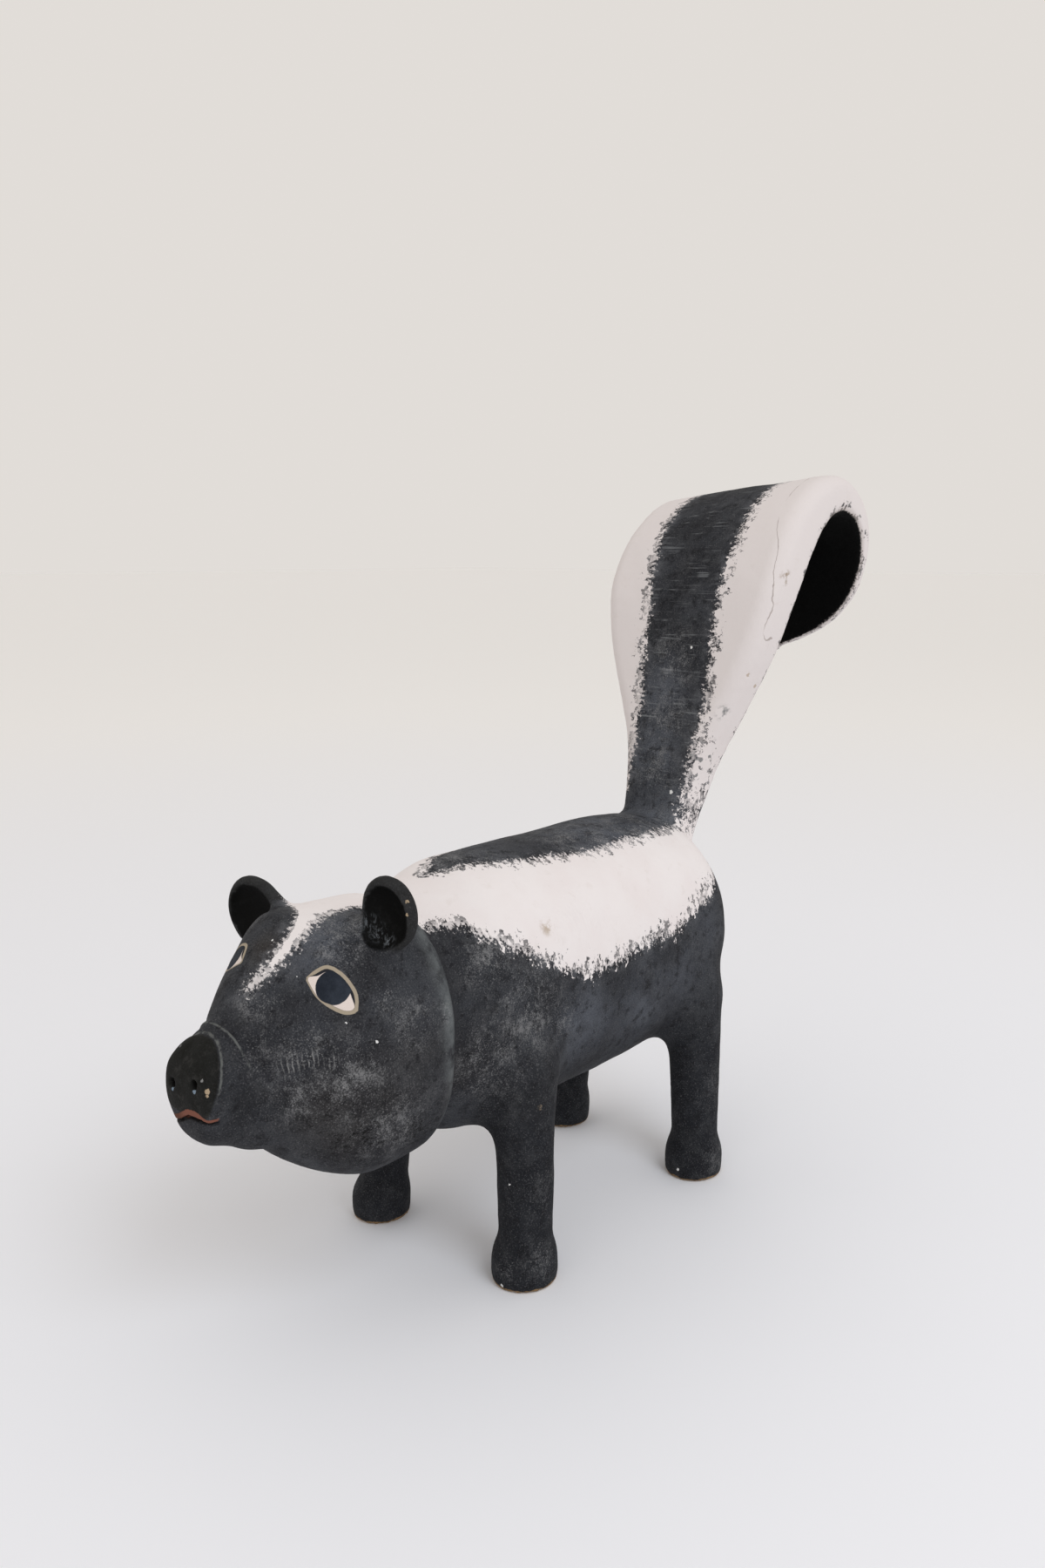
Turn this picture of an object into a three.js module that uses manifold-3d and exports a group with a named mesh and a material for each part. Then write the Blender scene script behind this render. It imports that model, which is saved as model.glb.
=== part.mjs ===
// Skunk, carved from wood in one piece.
// Millimetres, +Z up. The animal faces -Y, its left side is +X, and it stands on z = 0.
// The finished solid is moved so that the middle of its bounding box lies over the origin.
import * as THREE from "three";
import { mergeVertices } from "three/addons/utils/BufferGeometryUtils.js";
import Module from "manifold-3d";

const manifold = await Module();
manifold.setup();

// Main sizes of the carving
const BODY_HALF = 70.5; // half width of the barrel
const BACK_Z = 262; // height of the back
const BELLY_Z = 92; // height of the belly
const HEAD_HALF = 67; // half width of the head at the collar
const HEAD_TOP_Z = 252.5;
const TAIL_HALF = 80; // half width of the tail where it is widest
const TAIL_CORNER = 13; // rounding of the long edges of the tail
const TAIL_ROLL = 0.1; // the curl rises by this much for each millimetre to the left
const FOOT_REACH = [19.8, 21.3, 17]; // half sizes of a foot
const FOOT_Z = 9; // height of its middle
const FOOT_SQUARE = 3.2; // squareness from top to bottom
const LEG_TOP_Z = 130;

// Barrel of the body: y, top, bottom, half width, squareness of the section
const BARREL = [
  [-152, 236, 106, 48, 2.2],
  [-125, 252, BELLY_Z - 2, 60, 2.2],
  [-85, BACK_Z, BELLY_Z - 2, 67, 2.3],
  [0, BACK_Z, BELLY_Z - 1, BODY_HALF - 0.5, 2.3],
  [60, BACK_Z + 1, BELLY_Z + 1, BODY_HALF + 0.5, 2.3],
  [105, BACK_Z - 2, 98, BODY_HALF - 0.5, 2.2],
  [135, 246, 111, 64.5, 2.05],
  [157, 210, 137, 47.5, 2],
];
// Head from the lips back to the collar: y, top, bottom, half width, squareness
const HEAD = [
  [-290, 186, 145, 17, 2.8],
  [-281, 196, 140.5, 20.5, 2.7],
  [-267, 203, 135, 22, 2.6],
  [-255, 220, 128, 29, 2.2],
  [-245, 231, 125, 36, 2.2],
  [-235, 240, 116, 43, 2.3],
  [-212, HEAD_TOP_Z, 101, 56, 2.6],
  [-187, HEAD_TOP_Z, 92, 64, 2.4],
  [-162, HEAD_TOP_Z - 0.5, 93, HEAD_HALF, 2.3],
  [-147, 250, 99, HEAD_HALF - 2, 2.3],
];
const NECK = { at: [0, -126, 178], reach: [61, 60, 72] };
// Nose pad: square in plan, rounder from top to bottom
const NOSE = { at: [1, -274, 172.5], reach: [21.5, 16, 22], square: 6, round: 2.6 };
// Legs: where the foot stands, the top end, and the size of foot and ankle
const LEGS = [
  [[63.5, -90], [58, -85], 1],
  [[-63.5, -99], [-58, -90], 0.94],
  [[63.5, 97], [57, 102], 1],
  [[-63.5, 97], [-57, 102], 0.97],
];
const ANKLE_RADIUS = 16.6;
const THIGH_RADIUS = 19.3;
// Ears: middle, half sizes across, through and along, and the way each one stands and faces
const EARS = [
  { at: [48.5, -185, 257], reach: [18, 9, 21], up: [-0.05, -0.08, 1], front: [0.15, -1, 0.15] },
  { at: [-56.5, -198.5, 239], reach: [21, 9, 23.5], up: [-0.72, -0.14, 0.75], front: [0.1, -1, 0.1] },
];
const EAR_BLEND = 12;
const EAR_HOLLOW = [0.86, 1.25, 0.9]; // size of the hollow against the ear
// Middle line of the tail: y, z, half width, half thickness
const TAIL = [
  [126, 238, 27, 19],
  [135, 262, 28, 19.5],
  [149, 303, 37, 19.5],
  [159, 340, 52, 19.5],
  [168.5, 383, 69, 20],
  [180, 423.5, 78, 20.8],
  [197.5, 454, TAIL_HALF, 20.8],
  [222.5, 477.5, TAIL_HALF, 18.5],
  [249, 487, TAIL_HALF, 15.5],
  [272.5, 480, TAIL_HALF, 12],
  [287.5, 462, TAIL_HALF, 9],
  [292, 440, 78, 7],
  [291.5, 415.5, 70, 6],
  [289, 397, 54, 5],
  [287, 385, 34, 5],
  [285, 375.5, 8, 4],
];
// Nostrils: x and z of each one
const NOSTRILS = [[-8.5, 175], [11, 179.5]];
const NOSTRIL_RADIUS = 2.6;
const NOSTRIL_DEPTH = 6;
// Line between the lips: x, z
const LIPS = [
  [-23, 153.8],
  [-17, 152.5],
  [-11, 152.3],
  [-5, 154.3],
  [0.5, 157.4],
  [5.5, 159.8],
  [10.5, 160],
  [14.5, 159.4],
  [18.5, 158],
  [23, 160.2],
];
const MOUTH = { front: -294, corner: -280.5, open: 1.8, depth: 4 };

const SKIN_TRIANGLES = 8300; // faces kept on the skin before the small hollows are cut
const SHAPE_CARE = 5e-5; // how strongly long thin faces are avoided

// Monotone curve through the stations of a table, for one of its columns
function curveOf(rows, column) {
  const xs = rows.map((r) => r[0]);
  const ys = rows.map((r) => r[column]);
  const last = xs.length - 1;
  const step = xs.slice(1).map((x, i) => x - xs[i]);
  const rise = step.map((h, i) => (ys[i + 1] - ys[i]) / h);
  const slope = ys.map((_, i) => {
    if (i === 0) return rise[0];
    if (i === last) return rise[last - 1];
    if (rise[i - 1] * rise[i] <= 0) return 0;
    const a = 2 * step[i] + step[i - 1];
    const b = step[i] + 2 * step[i - 1];
    return (a + b) / (a / rise[i - 1] + b / rise[i]);
  });
  return (value) => {
    const x = Math.min(Math.max(value, xs[0]), xs[last]);
    let i = 0;
    while (i < last - 1 && x > xs[i + 1]) i += 1;
    const t = (x - xs[i]) / step[i];
    const s = 1 - t;
    return (
      ys[i] * (1 + 2 * t) * s * s +
      slope[i] * step[i] * t * s * s +
      ys[i + 1] * t * t * (3 - 2 * t) +
      slope[i + 1] * step[i] * t * t * (t - 1)
    );
  };
}

// Soft union and soft cut of two distances
function join(a, b, k) {
  const h = Math.max(k - Math.abs(a - b), 0) / k;
  return Math.min(a, b) - (h * h * k) / 4;
}
const cut = (a, b, k) => -join(-a, -b, k);

// Long body swept through the stations of a table, with rounded ends
function sweep(rows, rounding) {
  const [top, bottom, half, square] = [1, 2, 3, 4].map((c) => curveOf(rows, c));
  const first = rows[0][0];
  const last = rows[rows.length - 1][0];
  return (x, y, z) => {
    const t = top(y);
    const b = bottom(y);
    const a = half(y);
    const n = square(y);
    const h = (t - b) / 2;
    const q = (Math.abs(x) / a) ** n + (Math.abs(z - (t + b) / 2) / h) ** n;
    return cut((q ** (1 / n) - 1) * Math.min(a, h), Math.max(first - y, y - last), rounding);
  };
}

// Ball with three half sizes, turned by the rows of axes when they are given
function ball([cx, cy, cz], [rx, ry, rz], axes) {
  return (x, y, z) => {
    let [u, v, w] = [x - cx, y - cy, z - cz];
    if (axes) [u, v, w] = axes.map((a) => a[0] * (x - cx) + a[1] * (y - cy) + a[2] * (z - cz));
    const k0 = Math.hypot(u / rx, v / ry, w / rz);
    const k1 = Math.hypot(u / (rx * rx), v / (ry * ry), w / (rz * rz));
    return (k0 * (k0 - 1)) / Math.max(k1, 1e-9);
  };
}

// Block with rounded corners: n says how square it is in plan, m how square from top to bottom
function block([cx, cy, cz], [rx, ry, rz], n, m) {
  return (x, y, z) => {
    const plan = ((Math.abs(x - cx) / rx) ** n + (Math.abs(y - cy) / ry) ** n) ** (m / n);
    const q = plan + (Math.abs(z - cz) / rz) ** m;
    return (q ** (1 / m) - 1) * Math.min(rx, ry, rz);
  };
}

// Tapered round bar
function bar(a, b, ra, rb) {
  const ab = b.map((v, i) => v - a[i]);
  const length2 = ab[0] ** 2 + ab[1] ** 2 + ab[2] ** 2;
  return (x, y, z) => {
    const dot = (x - a[0]) * ab[0] + (y - a[1]) * ab[1] + (z - a[2]) * ab[2];
    const t = Math.min(Math.max(dot / length2, 0), 1);
    const away = Math.hypot(x - a[0] - t * ab[0], y - a[1] - t * ab[1], z - a[2] - t * ab[2]);
    return away - (ra + (rb - ra) * t);
  };
}

// Directions of an ear: across, through, along
function earAxes({ up, front }) {
  const along = new THREE.Vector3(...up).normalize();
  const through = new THREE.Vector3(...front);
  through.addScaledVector(along, -through.dot(along)).normalize();
  const across = new THREE.Vector3().crossVectors(through, along);
  return [across, through, along];
}

// Tail: a slab that follows its middle line, with rounded long edges
function tailOf(rows) {
  const line = [];
  const at = (i) => rows[Math.min(Math.max(i, 0), rows.length - 1)];
  for (let i = 0; i < rows.length - 1; i += 1)
    for (let t = 0; t < 1; t += 0.25)
      line.push(
        rows[0].map((_, c) => {
          const [p0, p1, p2, p3] = [at(i - 1)[c], at(i)[c], at(i + 1)[c], at(i + 2)[c]];
          const bend = 2 * p0 - 5 * p1 + 4 * p2 - p3;
          const turn = 3 * p1 - p0 - 3 * p2 + p3;
          return 0.5 * (2 * p1 + (p2 - p0) * t + bend * t * t + turn * t ** 3);
        }),
      );
  line.push(rows[rows.length - 1]);
  return (x, y, height) => {
    const s = Math.min(Math.max((height - 330) / 150, 0), 1);
    const z = height - TAIL_ROLL * x * s * s * (3 - 2 * s);
    let best = Infinity;
    let half = 0;
    let thick = 0;
    for (let i = 0; i < line.length - 1; i += 1) {
      const [a, b] = [line[i], line[i + 1]];
      const [dy, dz] = [b[0] - a[0], b[1] - a[1]];
      const t = Math.min(Math.max(((y - a[0]) * dy + (z - a[1]) * dz) / (dy * dy + dz * dz), 0), 1);
      const d = Math.hypot(y - a[0] - t * dy, z - a[1] - t * dz);
      if (d < best) {
        best = d;
        half = a[2] + (b[2] - a[2]) * t;
        thick = a[3] + (b[3] - a[3]) * t;
      }
    }
    const r = Math.min(TAIL_CORNER, thick * 0.75);
    const u = Math.abs(x) - (half - r);
    const v = best - (thick - r);
    return Math.hypot(Math.max(u, 0), Math.max(v, 0)) + Math.min(Math.max(u, v), 0) - r;
  };
}

// The whole animal as one distance from its surface
const barrel = sweep(BARREL, 50);
const skull = sweep(HEAD, 12);
const neck = ball(NECK.at, NECK.reach);
const nose = block(NOSE.at, NOSE.reach, NOSE.square, NOSE.round);
const tail = tailOf(TAIL);
const legs = LEGS.map(([foot, top, size]) => ({
  shaft: bar([...foot, 8], [...top, LEG_TOP_Z], ANKLE_RADIUS * size, THIGH_RADIUS),
  foot: block([foot[0], foot[1] - 1.5, FOOT_Z], FOOT_REACH.map((r) => r * size), 2, FOOT_SQUARE),
}));
const ears = EARS.map((e) => ball(e.at, e.reach, earAxes(e).map((a) => a.toArray())));

function animal(x, y, z) {
  let body = join(barrel(x, y, z), neck(x, y, z), 12);
  for (const leg of legs) body = join(body, join(leg.shaft(x, y, z), leg.foot(x, y, z), 8), 22);
  if (z > 200 && y > 80) body = join(body, tail(x, y, z), 9);
  let head = join(skull(x, y, z), nose(x, y, z), 3);
  for (const ear of ears) head = join(head, ear(x, y, z), EAR_BLEND);
  return join(body, head, 6);
}

// Cell borders along one axis: [from, to, cell size] for each stretch
function borders(stretches) {
  const list = [stretches[0][0]];
  for (const [from, to, size] of stretches) {
    const n = Math.max(1, Math.round((to - from) / size));
    for (let i = 1; i <= n; i += 1) list.push(from + ((to - from) * i) / n);
  }
  return list;
}
const GRID = [
  borders([[-93, -26, 6.6], [-26, 26, 4.4], [26, 93, 6.6]]),
  borders([[-300, -256, 4], [-256, -208, 6], [-208, -172, 4.5], [-172, -146, 6.5],
    [-146, 96, 12], [96, 278, 7.6], [278, 306, 3.5]]),
  borders([[-20, 34, 5.4], [34, 90, 9.5], [90, 140, 8], [140, 204, 5],
    [204, 284, 6], [284, 364, 10], [364, 516, 6.2]]),
];

// Closed surface of a distance function: one vertex in each cell that the surface crosses
function surface(distance, [gx, gy, gz]) {
  const [nx, ny, nz] = [gx.length, gy.length, gz.length];
  const id = (i, j, k) => (i * ny + j) * nz + k;
  const value = new Float64Array(nx * ny * nz);
  for (let i = 0; i < nx; i += 1)
    for (let j = 0; j < ny; j += 1)
      for (let k = 0; k < nz; k += 1) value[id(i, j, k)] = distance(gx[i], gy[j], gz[k]);
  const cell = new Int32Array(nx * ny * nz).fill(-1);
  const points = [];
  const corners = [0, 1, 2, 3, 4, 5, 6, 7].map((c) => [c >> 2, (c >> 1) & 1, c & 1]);
  for (let i = 0; i < nx - 1; i += 1)
    for (let j = 0; j < ny - 1; j += 1)
      for (let k = 0; k < nz - 1; k += 1) {
        const v = corners.map(([a, b, c]) => value[id(i + a, j + b, k + c)]);
        if (v.every((d) => d < 0) || v.every((d) => d >= 0)) continue;
        const sum = [0, 0, 0];
        let count = 0;
        for (let c = 0; c < 8; c += 1)
          for (const bit of [1, 2, 4]) {
            if (c & bit) continue;
            const [va, vb] = [v[c], v[c | bit]];
            if (va < 0 === vb < 0) continue;
            const t = va / (va - vb);
            const [a, b] = [corners[c], corners[c | bit]];
            sum[0] += gx[i + a[0]] * (1 - t) + gx[i + b[0]] * t;
            sum[1] += gy[j + a[1]] * (1 - t) + gy[j + b[1]] * t;
            sum[2] += gz[k + a[2]] * (1 - t) + gz[k + b[2]] * t;
            count += 1;
          }
        cell[id(i, j, k)] = points.length / 3;
        points.push(...settle(distance, sum.map((s) => s / count), [
          [gx[i], gx[i + 1]],
          [gy[j], gy[j + 1]],
          [gz[k], gz[k + 1]],
        ]));
      }
  const faces = [];
  const quad = (a, b, c, d, flip) => {
    const p = (n) => new THREE.Vector3().fromArray(points, n * 3);
    const [A, B, C, D] = [a, b, c, d].map(p);
    const list = A.distanceTo(C) < B.distanceTo(D) ? [a, b, c, a, c, d] : [a, b, d, b, c, d];
    for (let i = 0; i < 6; i += 3)
      faces.push(...(flip ? [list[i], list[i + 2], list[i + 1]] : [list[i], list[i + 1], list[i + 2]]));
  };
  for (let i = 1; i < nx - 1; i += 1)
    for (let j = 1; j < ny - 1; j += 1)
      for (let k = 1; k < nz - 1; k += 1) {
        const inside = value[id(i, j, k)] < 0;
        const at = (a, b, c) => cell[id(i - a, j - b, k - c)];
        if (inside !== value[id(i + 1, j, k)] < 0)
          quad(at(0, 1, 1), at(0, 0, 1), at(0, 0, 0), at(0, 1, 0), !inside);
        if (inside !== value[id(i, j + 1, k)] < 0)
          quad(at(1, 0, 1), at(1, 0, 0), at(0, 0, 0), at(0, 0, 1), !inside);
        if (inside !== value[id(i, j, k + 1)] < 0)
          quad(at(1, 1, 0), at(0, 1, 0), at(0, 0, 0), at(1, 0, 0), !inside);
      }
  return { points, faces };
}

// Moves a vertex onto the surface without leaving its cell
function settle(distance, start, limits) {
  const p = [...start];
  for (let turn = 0; turn < 3; turn += 1) {
    const d = distance(...p);
    const g = p.map((_, c) => {
      const [a, b] = [[...p], [...p]];
      a[c] += 0.5;
      b[c] -= 0.5;
      return distance(...a) - distance(...b);
    });
    const g2 = Math.max(g[0] ** 2 + g[1] ** 2 + g[2] ** 2, 0.05);
    p.forEach((v, c) => {
      const [low, high] = limits[c];
      const margin = (high - low) * 0.04;
      p[c] = Math.min(Math.max(v - (d * g[c]) / g2, low + margin), high - margin);
    });
  }
  return p;
}

// Fewer triangles: the edges whose loss changes the form least are drawn together first
function thin({ points, faces }, wanted) {
  const at = [];
  for (let i = 0; i < points.length; i += 3) at.push(points.slice(i, i + 3));
  const tri = [];
  for (let i = 0; i < faces.length; i += 3) tri.push(faces.slice(i, i + 3));
  const around = at.map(() => new Set());
  const error = at.map(() => new Float64Array(10));
  const cross = (a, b, c) => {
    const [ux, uy, uz] = [b[0] - a[0], b[1] - a[1], b[2] - a[2]];
    const [vx, vy, vz] = [c[0] - a[0], c[1] - a[1], c[2] - a[2]];
    return [uy * vz - uz * vy, uz * vx - ux * vz, ux * vy - uy * vx];
  };
  tri.forEach((t, f) => {
    const n = cross(...t.map((v) => at[v]));
    const size = Math.hypot(...n) || 1e-12;
    const [a, b, c] = n.map((v) => v / size);
    const d = -(a * at[t[0]][0] + b * at[t[0]][1] + c * at[t[0]][2]);
    const q = [a * a, a * b, a * c, a * d, b * b, b * c, b * d, c * c, c * d, d * d];
    for (const v of t) {
      around[v].add(f);
      for (let i = 0; i < 10; i += 1) error[v][i] += (q[i] * size) / 2;
    }
  });
  const errorAt = (q, [x, y, z]) =>
    q[0] * x * x + 2 * q[1] * x * y + 2 * q[2] * x * z + 2 * q[3] * x + q[4] * y * y +
    2 * q[5] * y * z + 2 * q[6] * y + q[7] * z * z + 2 * q[8] * z + q[9];
  const stamp = new Int32Array(at.length);
  const heap = [];
  const push = (item) => {
    let i = heap.push(item) - 1;
    while (i > 0) {
      const up = (i - 1) >> 1;
      if (heap[up].cost <= heap[i].cost) break;
      [heap[up], heap[i]] = [heap[i], heap[up]];
      i = up;
    }
  };
  const pop = () => {
    const top = heap[0];
    const end = heap.pop();
    if (heap.length) {
      heap[0] = end;
      for (let i = 0; ; ) {
        const l = 2 * i + 1;
        let m = i;
        if (l < heap.length && heap[l].cost < heap[m].cost) m = l;
        if (l + 1 < heap.length && heap[l + 1].cost < heap[m].cost) m = l + 1;
        if (m === i) break;
        [heap[m], heap[i]] = [heap[i], heap[m]];
        i = m;
      }
    }
    return top;
  };
  const offer = (u, v) => {
    const q = error[u].map((e, i) => e + error[v][i]);
    const middle = at[u].map((a, c) => (a + at[v][c]) / 2);
    const length = Math.hypot(...at[u].map((a, c) => a - at[v][c]));
    const places = [middle, at[u], at[v]];
    const [A, B, C, D, E, F] = [q[0], q[1], q[2], q[4], q[5], q[7]];
    const det = A * (D * F - E * E) - B * (B * F - E * C) + C * (B * E - D * C);
    if (Math.abs(det) > 1e-4 * (A + D + F) ** 3) {
      const [x, y, z] = [-q[3], -q[6], -q[8]];
      const best = [
        (x * (D * F - E * E) - B * (y * F - E * z) + C * (y * E - D * z)) / det,
        (A * (y * F - z * E) - x * (B * F - E * C) + C * (B * z - y * C)) / det,
        (A * (D * z - E * y) - B * (B * z - y * C) + x * (B * E - D * C)) / det,
      ];
      if (Math.hypot(...best.map((a, c) => a - middle[c])) < length) places.push(best);
    }
    let pick = null;
    for (const p of places) {
      const cost = errorAt(q, p) + SHAPE_CARE * length ** 4;
      if (!pick || cost < pick.cost) pick = { cost, place: p };
    }
    push({ cost: pick.cost, place: pick.place, u, v, su: stamp[u], sv: stamp[v] });
  };
  const near = (v) => {
    const set = new Set();
    for (const f of around[v]) for (const w of tri[f]) if (w !== v) set.add(w);
    return set;
  };
  at.forEach((_, u) => near(u).forEach((v) => u < v && offer(u, v)));
  let left = tri.length;
  while (left > wanted && heap.length) {
    const { u, v, su, sv, place } = pop();
    if (stamp[u] !== su || stamp[v] !== sv) continue;
    const [nu, nv] = [near(u), near(v)];
    if ([...nu].filter((w) => nv.has(w)).length !== 2) continue;
    const turned = [u, v].some((w) =>
      [...around[w]].some((f) => {
        if (tri[f].includes(u) && tri[f].includes(v)) return false;
        const before = cross(...tri[f].map((k) => at[k]));
        const after = cross(...tri[f].map((k) => (k === w ? place : at[k])));
        const dot = before[0] * after[0] + before[1] * after[1] + before[2] * after[2];
        return dot < 0.3 * Math.hypot(...before) * Math.hypot(...after);
      }),
    );
    if (turned) continue;
    for (const f of [...around[v]]) {
      if (tri[f].includes(u)) {
        for (const w of tri[f]) around[w].delete(f);
        tri[f] = null;
        left -= 1;
      } else {
        tri[f] = tri[f].map((w) => (w === v ? u : w));
        around[u].add(f);
      }
    }
    around[v].clear();
    at[u] = place;
    for (let i = 0; i < 10; i += 1) error[u][i] += error[v][i];
    stamp[v] = -1;
    stamp[u] += 1;
    near(u).forEach((w) => offer(u, w));
  }
  const number = new Map();
  const kept = { points: [], faces: [] };
  for (const t of tri)
    if (t)
      for (const v of t) {
        if (!number.has(v)) {
          number.set(v, number.size);
          kept.points.push(...at[v]);
        }
        kept.faces.push(number.get(v));
      }
  return kept;
}

// Between a three.js geometry and a solid that can be joined and cut
function solidOf(geometry) {
  const plain = new THREE.BufferGeometry();
  plain.setAttribute("position", geometry.getAttribute("position"));
  if (geometry.index) plain.setIndex(geometry.index);
  const merged = mergeVertices(plain, 1e-4);
  const made = new manifold.Mesh({
    numProp: 3,
    vertProperties: new Float32Array(merged.attributes.position.array),
    triVerts: new Uint32Array(merged.index.array),
  });
  made.merge();
  return new manifold.Manifold(made);
}
function geometryOf(solid) {
  const mesh = solid.getMesh();
  const positions = new Float32Array(mesh.numVert * 3);
  for (let i = 0; i < mesh.numVert; i += 1)
    positions.set(mesh.vertProperties.subarray(i * mesh.numProp, i * mesh.numProp + 3), i * 3);
  const geometry = new THREE.BufferGeometry();
  geometry.setAttribute("position", new THREE.BufferAttribute(positions, 3));
  geometry.setIndex(new THREE.BufferAttribute(new Uint32Array(mesh.triVerts), 1));
  return geometry;
}

// Hollow of an ear, open towards the front
function earHollow(ear) {
  const [across, through, along] = earAxes(ear);
  const [rx, ry, rz] = ear.reach;
  const geometry = new THREE.SphereGeometry(1, 20, 12);
  geometry.scale(rx * EAR_HOLLOW[0], ry * EAR_HOLLOW[1], rz * EAR_HOLLOW[2]);
  const place = new THREE.Matrix4().makeBasis(across, through, along);
  const middle = new THREE.Vector3(...ear.at).addScaledVector(through, ry * 0.95);
  middle.addScaledVector(along, -1.5);
  place.setPosition(middle);
  geometry.applyMatrix4(place);
  return geometry;
}

// Nostril bored into the front of the nose
function nostril([x, z]) {
  const face = NOSE.at[1] - NOSE.reach[1];
  const geometry = new THREE.CylinderGeometry(NOSTRIL_RADIUS, NOSTRIL_RADIUS * 0.6, NOSTRIL_DEPTH * 2, 14);
  geometry.rotateX(Math.PI);
  geometry.translate(x, face, z);
  return geometry;
}

// Mouth: a slit round the front of the muzzle that follows the line between the lips
function mouthSlit() {
  const level = curveOf(LIPS, 1);
  const end = LIPS[LIPS.length - 1][0];
  const steps = 26;
  const shape = new THREE.Shape();
  for (let i = 0; i <= steps; i += 1) {
    const x = -end + (2 * end * i) / steps;
    if (i === 0) shape.moveTo(x, level(x) + MOUTH.open / 2);
    else shape.lineTo(x, level(x) + MOUTH.open / 2);
  }
  for (let i = steps; i >= 0; i -= 1) {
    const x = -end + (2 * end * i) / steps;
    shape.lineTo(x, level(x) - MOUTH.open / 2);
  }
  const deep = MOUTH.corner - MOUTH.front + 6;
  const geometry = new THREE.ExtrudeGeometry(shape, { depth: deep, bevelEnabled: false });
  geometry.rotateX(Math.PI / 2);
  geometry.translate(0, MOUTH.corner, 0);
  return geometry;
}

// Core of the muzzle behind the lips
function muzzleCore() {
  const shape = new THREE.Shape();
  const [rx, ry] = [NOSE.reach[0] - MOUTH.depth - 1.5, NOSE.reach[1] - MOUTH.depth];
  const round = (v) => Math.sign(v) * Math.abs(v) ** 0.5;
  for (let i = 0; i < 32; i += 1) {
    const a = (2 * Math.PI * i) / 32;
    const [u, v] = [rx * round(Math.cos(a)), ry * round(Math.sin(a))];
    if (i === 0) shape.moveTo(u, v);
    else shape.lineTo(u, v);
  }
  const geometry = new THREE.ExtrudeGeometry(shape, { depth: 30, bevelEnabled: false });
  geometry.translate(NOSE.at[0], NOSE.at[1] + 1, LIPS[4][1] - 15);
  return geometry;
}

const skin = thin(surface(animal, GRID), SKIN_TRIANGLES);
const raw = new THREE.BufferGeometry();
raw.setAttribute("position", new THREE.BufferAttribute(new Float32Array(skin.points), 3));
raw.setIndex(skin.faces);
let carving = solidOf(raw);

// Undersides of the feet are cut flat
const underFloor = new THREE.BoxGeometry(400, 800, 60);
underFloor.translate(0, 0, -30);
carving = carving.subtract(solidOf(underFloor));
for (const ear of EARS) carving = carving.subtract(solidOf(earHollow(ear)));
for (const place of NOSTRILS) carving = carving.subtract(solidOf(nostril(place)));

// The slit is kept shallow by leaving the core of the muzzle standing
carving = carving.subtract(solidOf(mouthSlit()).subtract(solidOf(muzzleCore())));

const skunk = new THREE.Mesh(
  geometryOf(carving),
  new THREE.MeshStandardMaterial({ color: 0x3f4146, roughness: 0.85, metalness: 0 }),
);
skunk.name = "skunk";
skunk.geometry.computeBoundingBox();
const box = skunk.geometry.boundingBox;
skunk.geometry.translate(-(box.min.x + box.max.x) / 2, -(box.min.y + box.max.y) / 2, -box.min.z);
skunk.geometry.computeVertexNormals();

const group = new THREE.Group();
group.name = "skunk_sculpture";
group.add(skunk);
export default group;
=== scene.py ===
"""Painted wooden skunk: the fine carved surface, its paint, and a plain studio."""
import bpy
import numpy as np
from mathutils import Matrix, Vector


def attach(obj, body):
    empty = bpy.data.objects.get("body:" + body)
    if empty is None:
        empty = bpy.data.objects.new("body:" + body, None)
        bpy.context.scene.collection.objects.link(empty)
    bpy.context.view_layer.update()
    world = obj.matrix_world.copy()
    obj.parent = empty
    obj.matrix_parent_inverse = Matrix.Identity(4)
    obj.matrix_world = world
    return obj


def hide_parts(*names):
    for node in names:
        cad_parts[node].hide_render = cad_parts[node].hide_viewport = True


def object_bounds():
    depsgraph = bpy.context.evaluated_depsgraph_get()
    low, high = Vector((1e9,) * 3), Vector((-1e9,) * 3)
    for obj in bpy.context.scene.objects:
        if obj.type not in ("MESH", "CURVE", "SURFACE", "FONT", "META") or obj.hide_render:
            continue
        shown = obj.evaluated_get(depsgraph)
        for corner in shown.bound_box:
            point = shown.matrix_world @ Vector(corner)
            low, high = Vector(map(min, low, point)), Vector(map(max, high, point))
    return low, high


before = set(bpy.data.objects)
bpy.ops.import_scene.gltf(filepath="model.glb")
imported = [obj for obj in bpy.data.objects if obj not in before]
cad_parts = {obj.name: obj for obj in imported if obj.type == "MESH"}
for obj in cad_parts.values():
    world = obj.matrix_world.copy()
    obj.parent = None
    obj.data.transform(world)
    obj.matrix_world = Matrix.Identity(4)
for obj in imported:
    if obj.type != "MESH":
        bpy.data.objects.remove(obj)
cad_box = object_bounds()

# Form, in millimetres: x to the animal's left, y to its rear, z up
# cross sections from front to rear: y, top, bottom, half width and squareness
BARREL = [(-152, 236, 106, 48, 2.2), (-125, 252, 90, 60, 2.2), (-85, 262, 90, 67, 2.3),
          (0, 262, 91, 70, 2.3), (60, 263, 93, 71, 2.3), (105, 260, 98, 70, 2.2),
          (135, 246, 111, 64.5, 2.05), (157, 210, 137, 47.5, 2)]
HEAD = [(-290, 186, 145, 17, 2.8), (-281, 196, 140.5, 20.5, 2.7), (-267, 203, 135, 22, 2.6),
        (-255, 220, 128, 29, 2.2), (-245, 231, 125, 36, 2.2), (-235, 240, 116, 43, 2.3),
        (-212, 252.5, 101, 56, 2.6), (-187, 252.5, 92, 64, 2.4), (-162, 252, 93, 67, 2.3),
        (-147, 250, 99, 65, 2.3)]
BARREL_ROUND, HEAD_ROUND, HEAD_BLEND = 50, 12, 6
# soft ball of the neck: middle and reach
NECK = ((0, -126, 178), (61, 60, 72))
NECK_BLEND = 12
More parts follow.
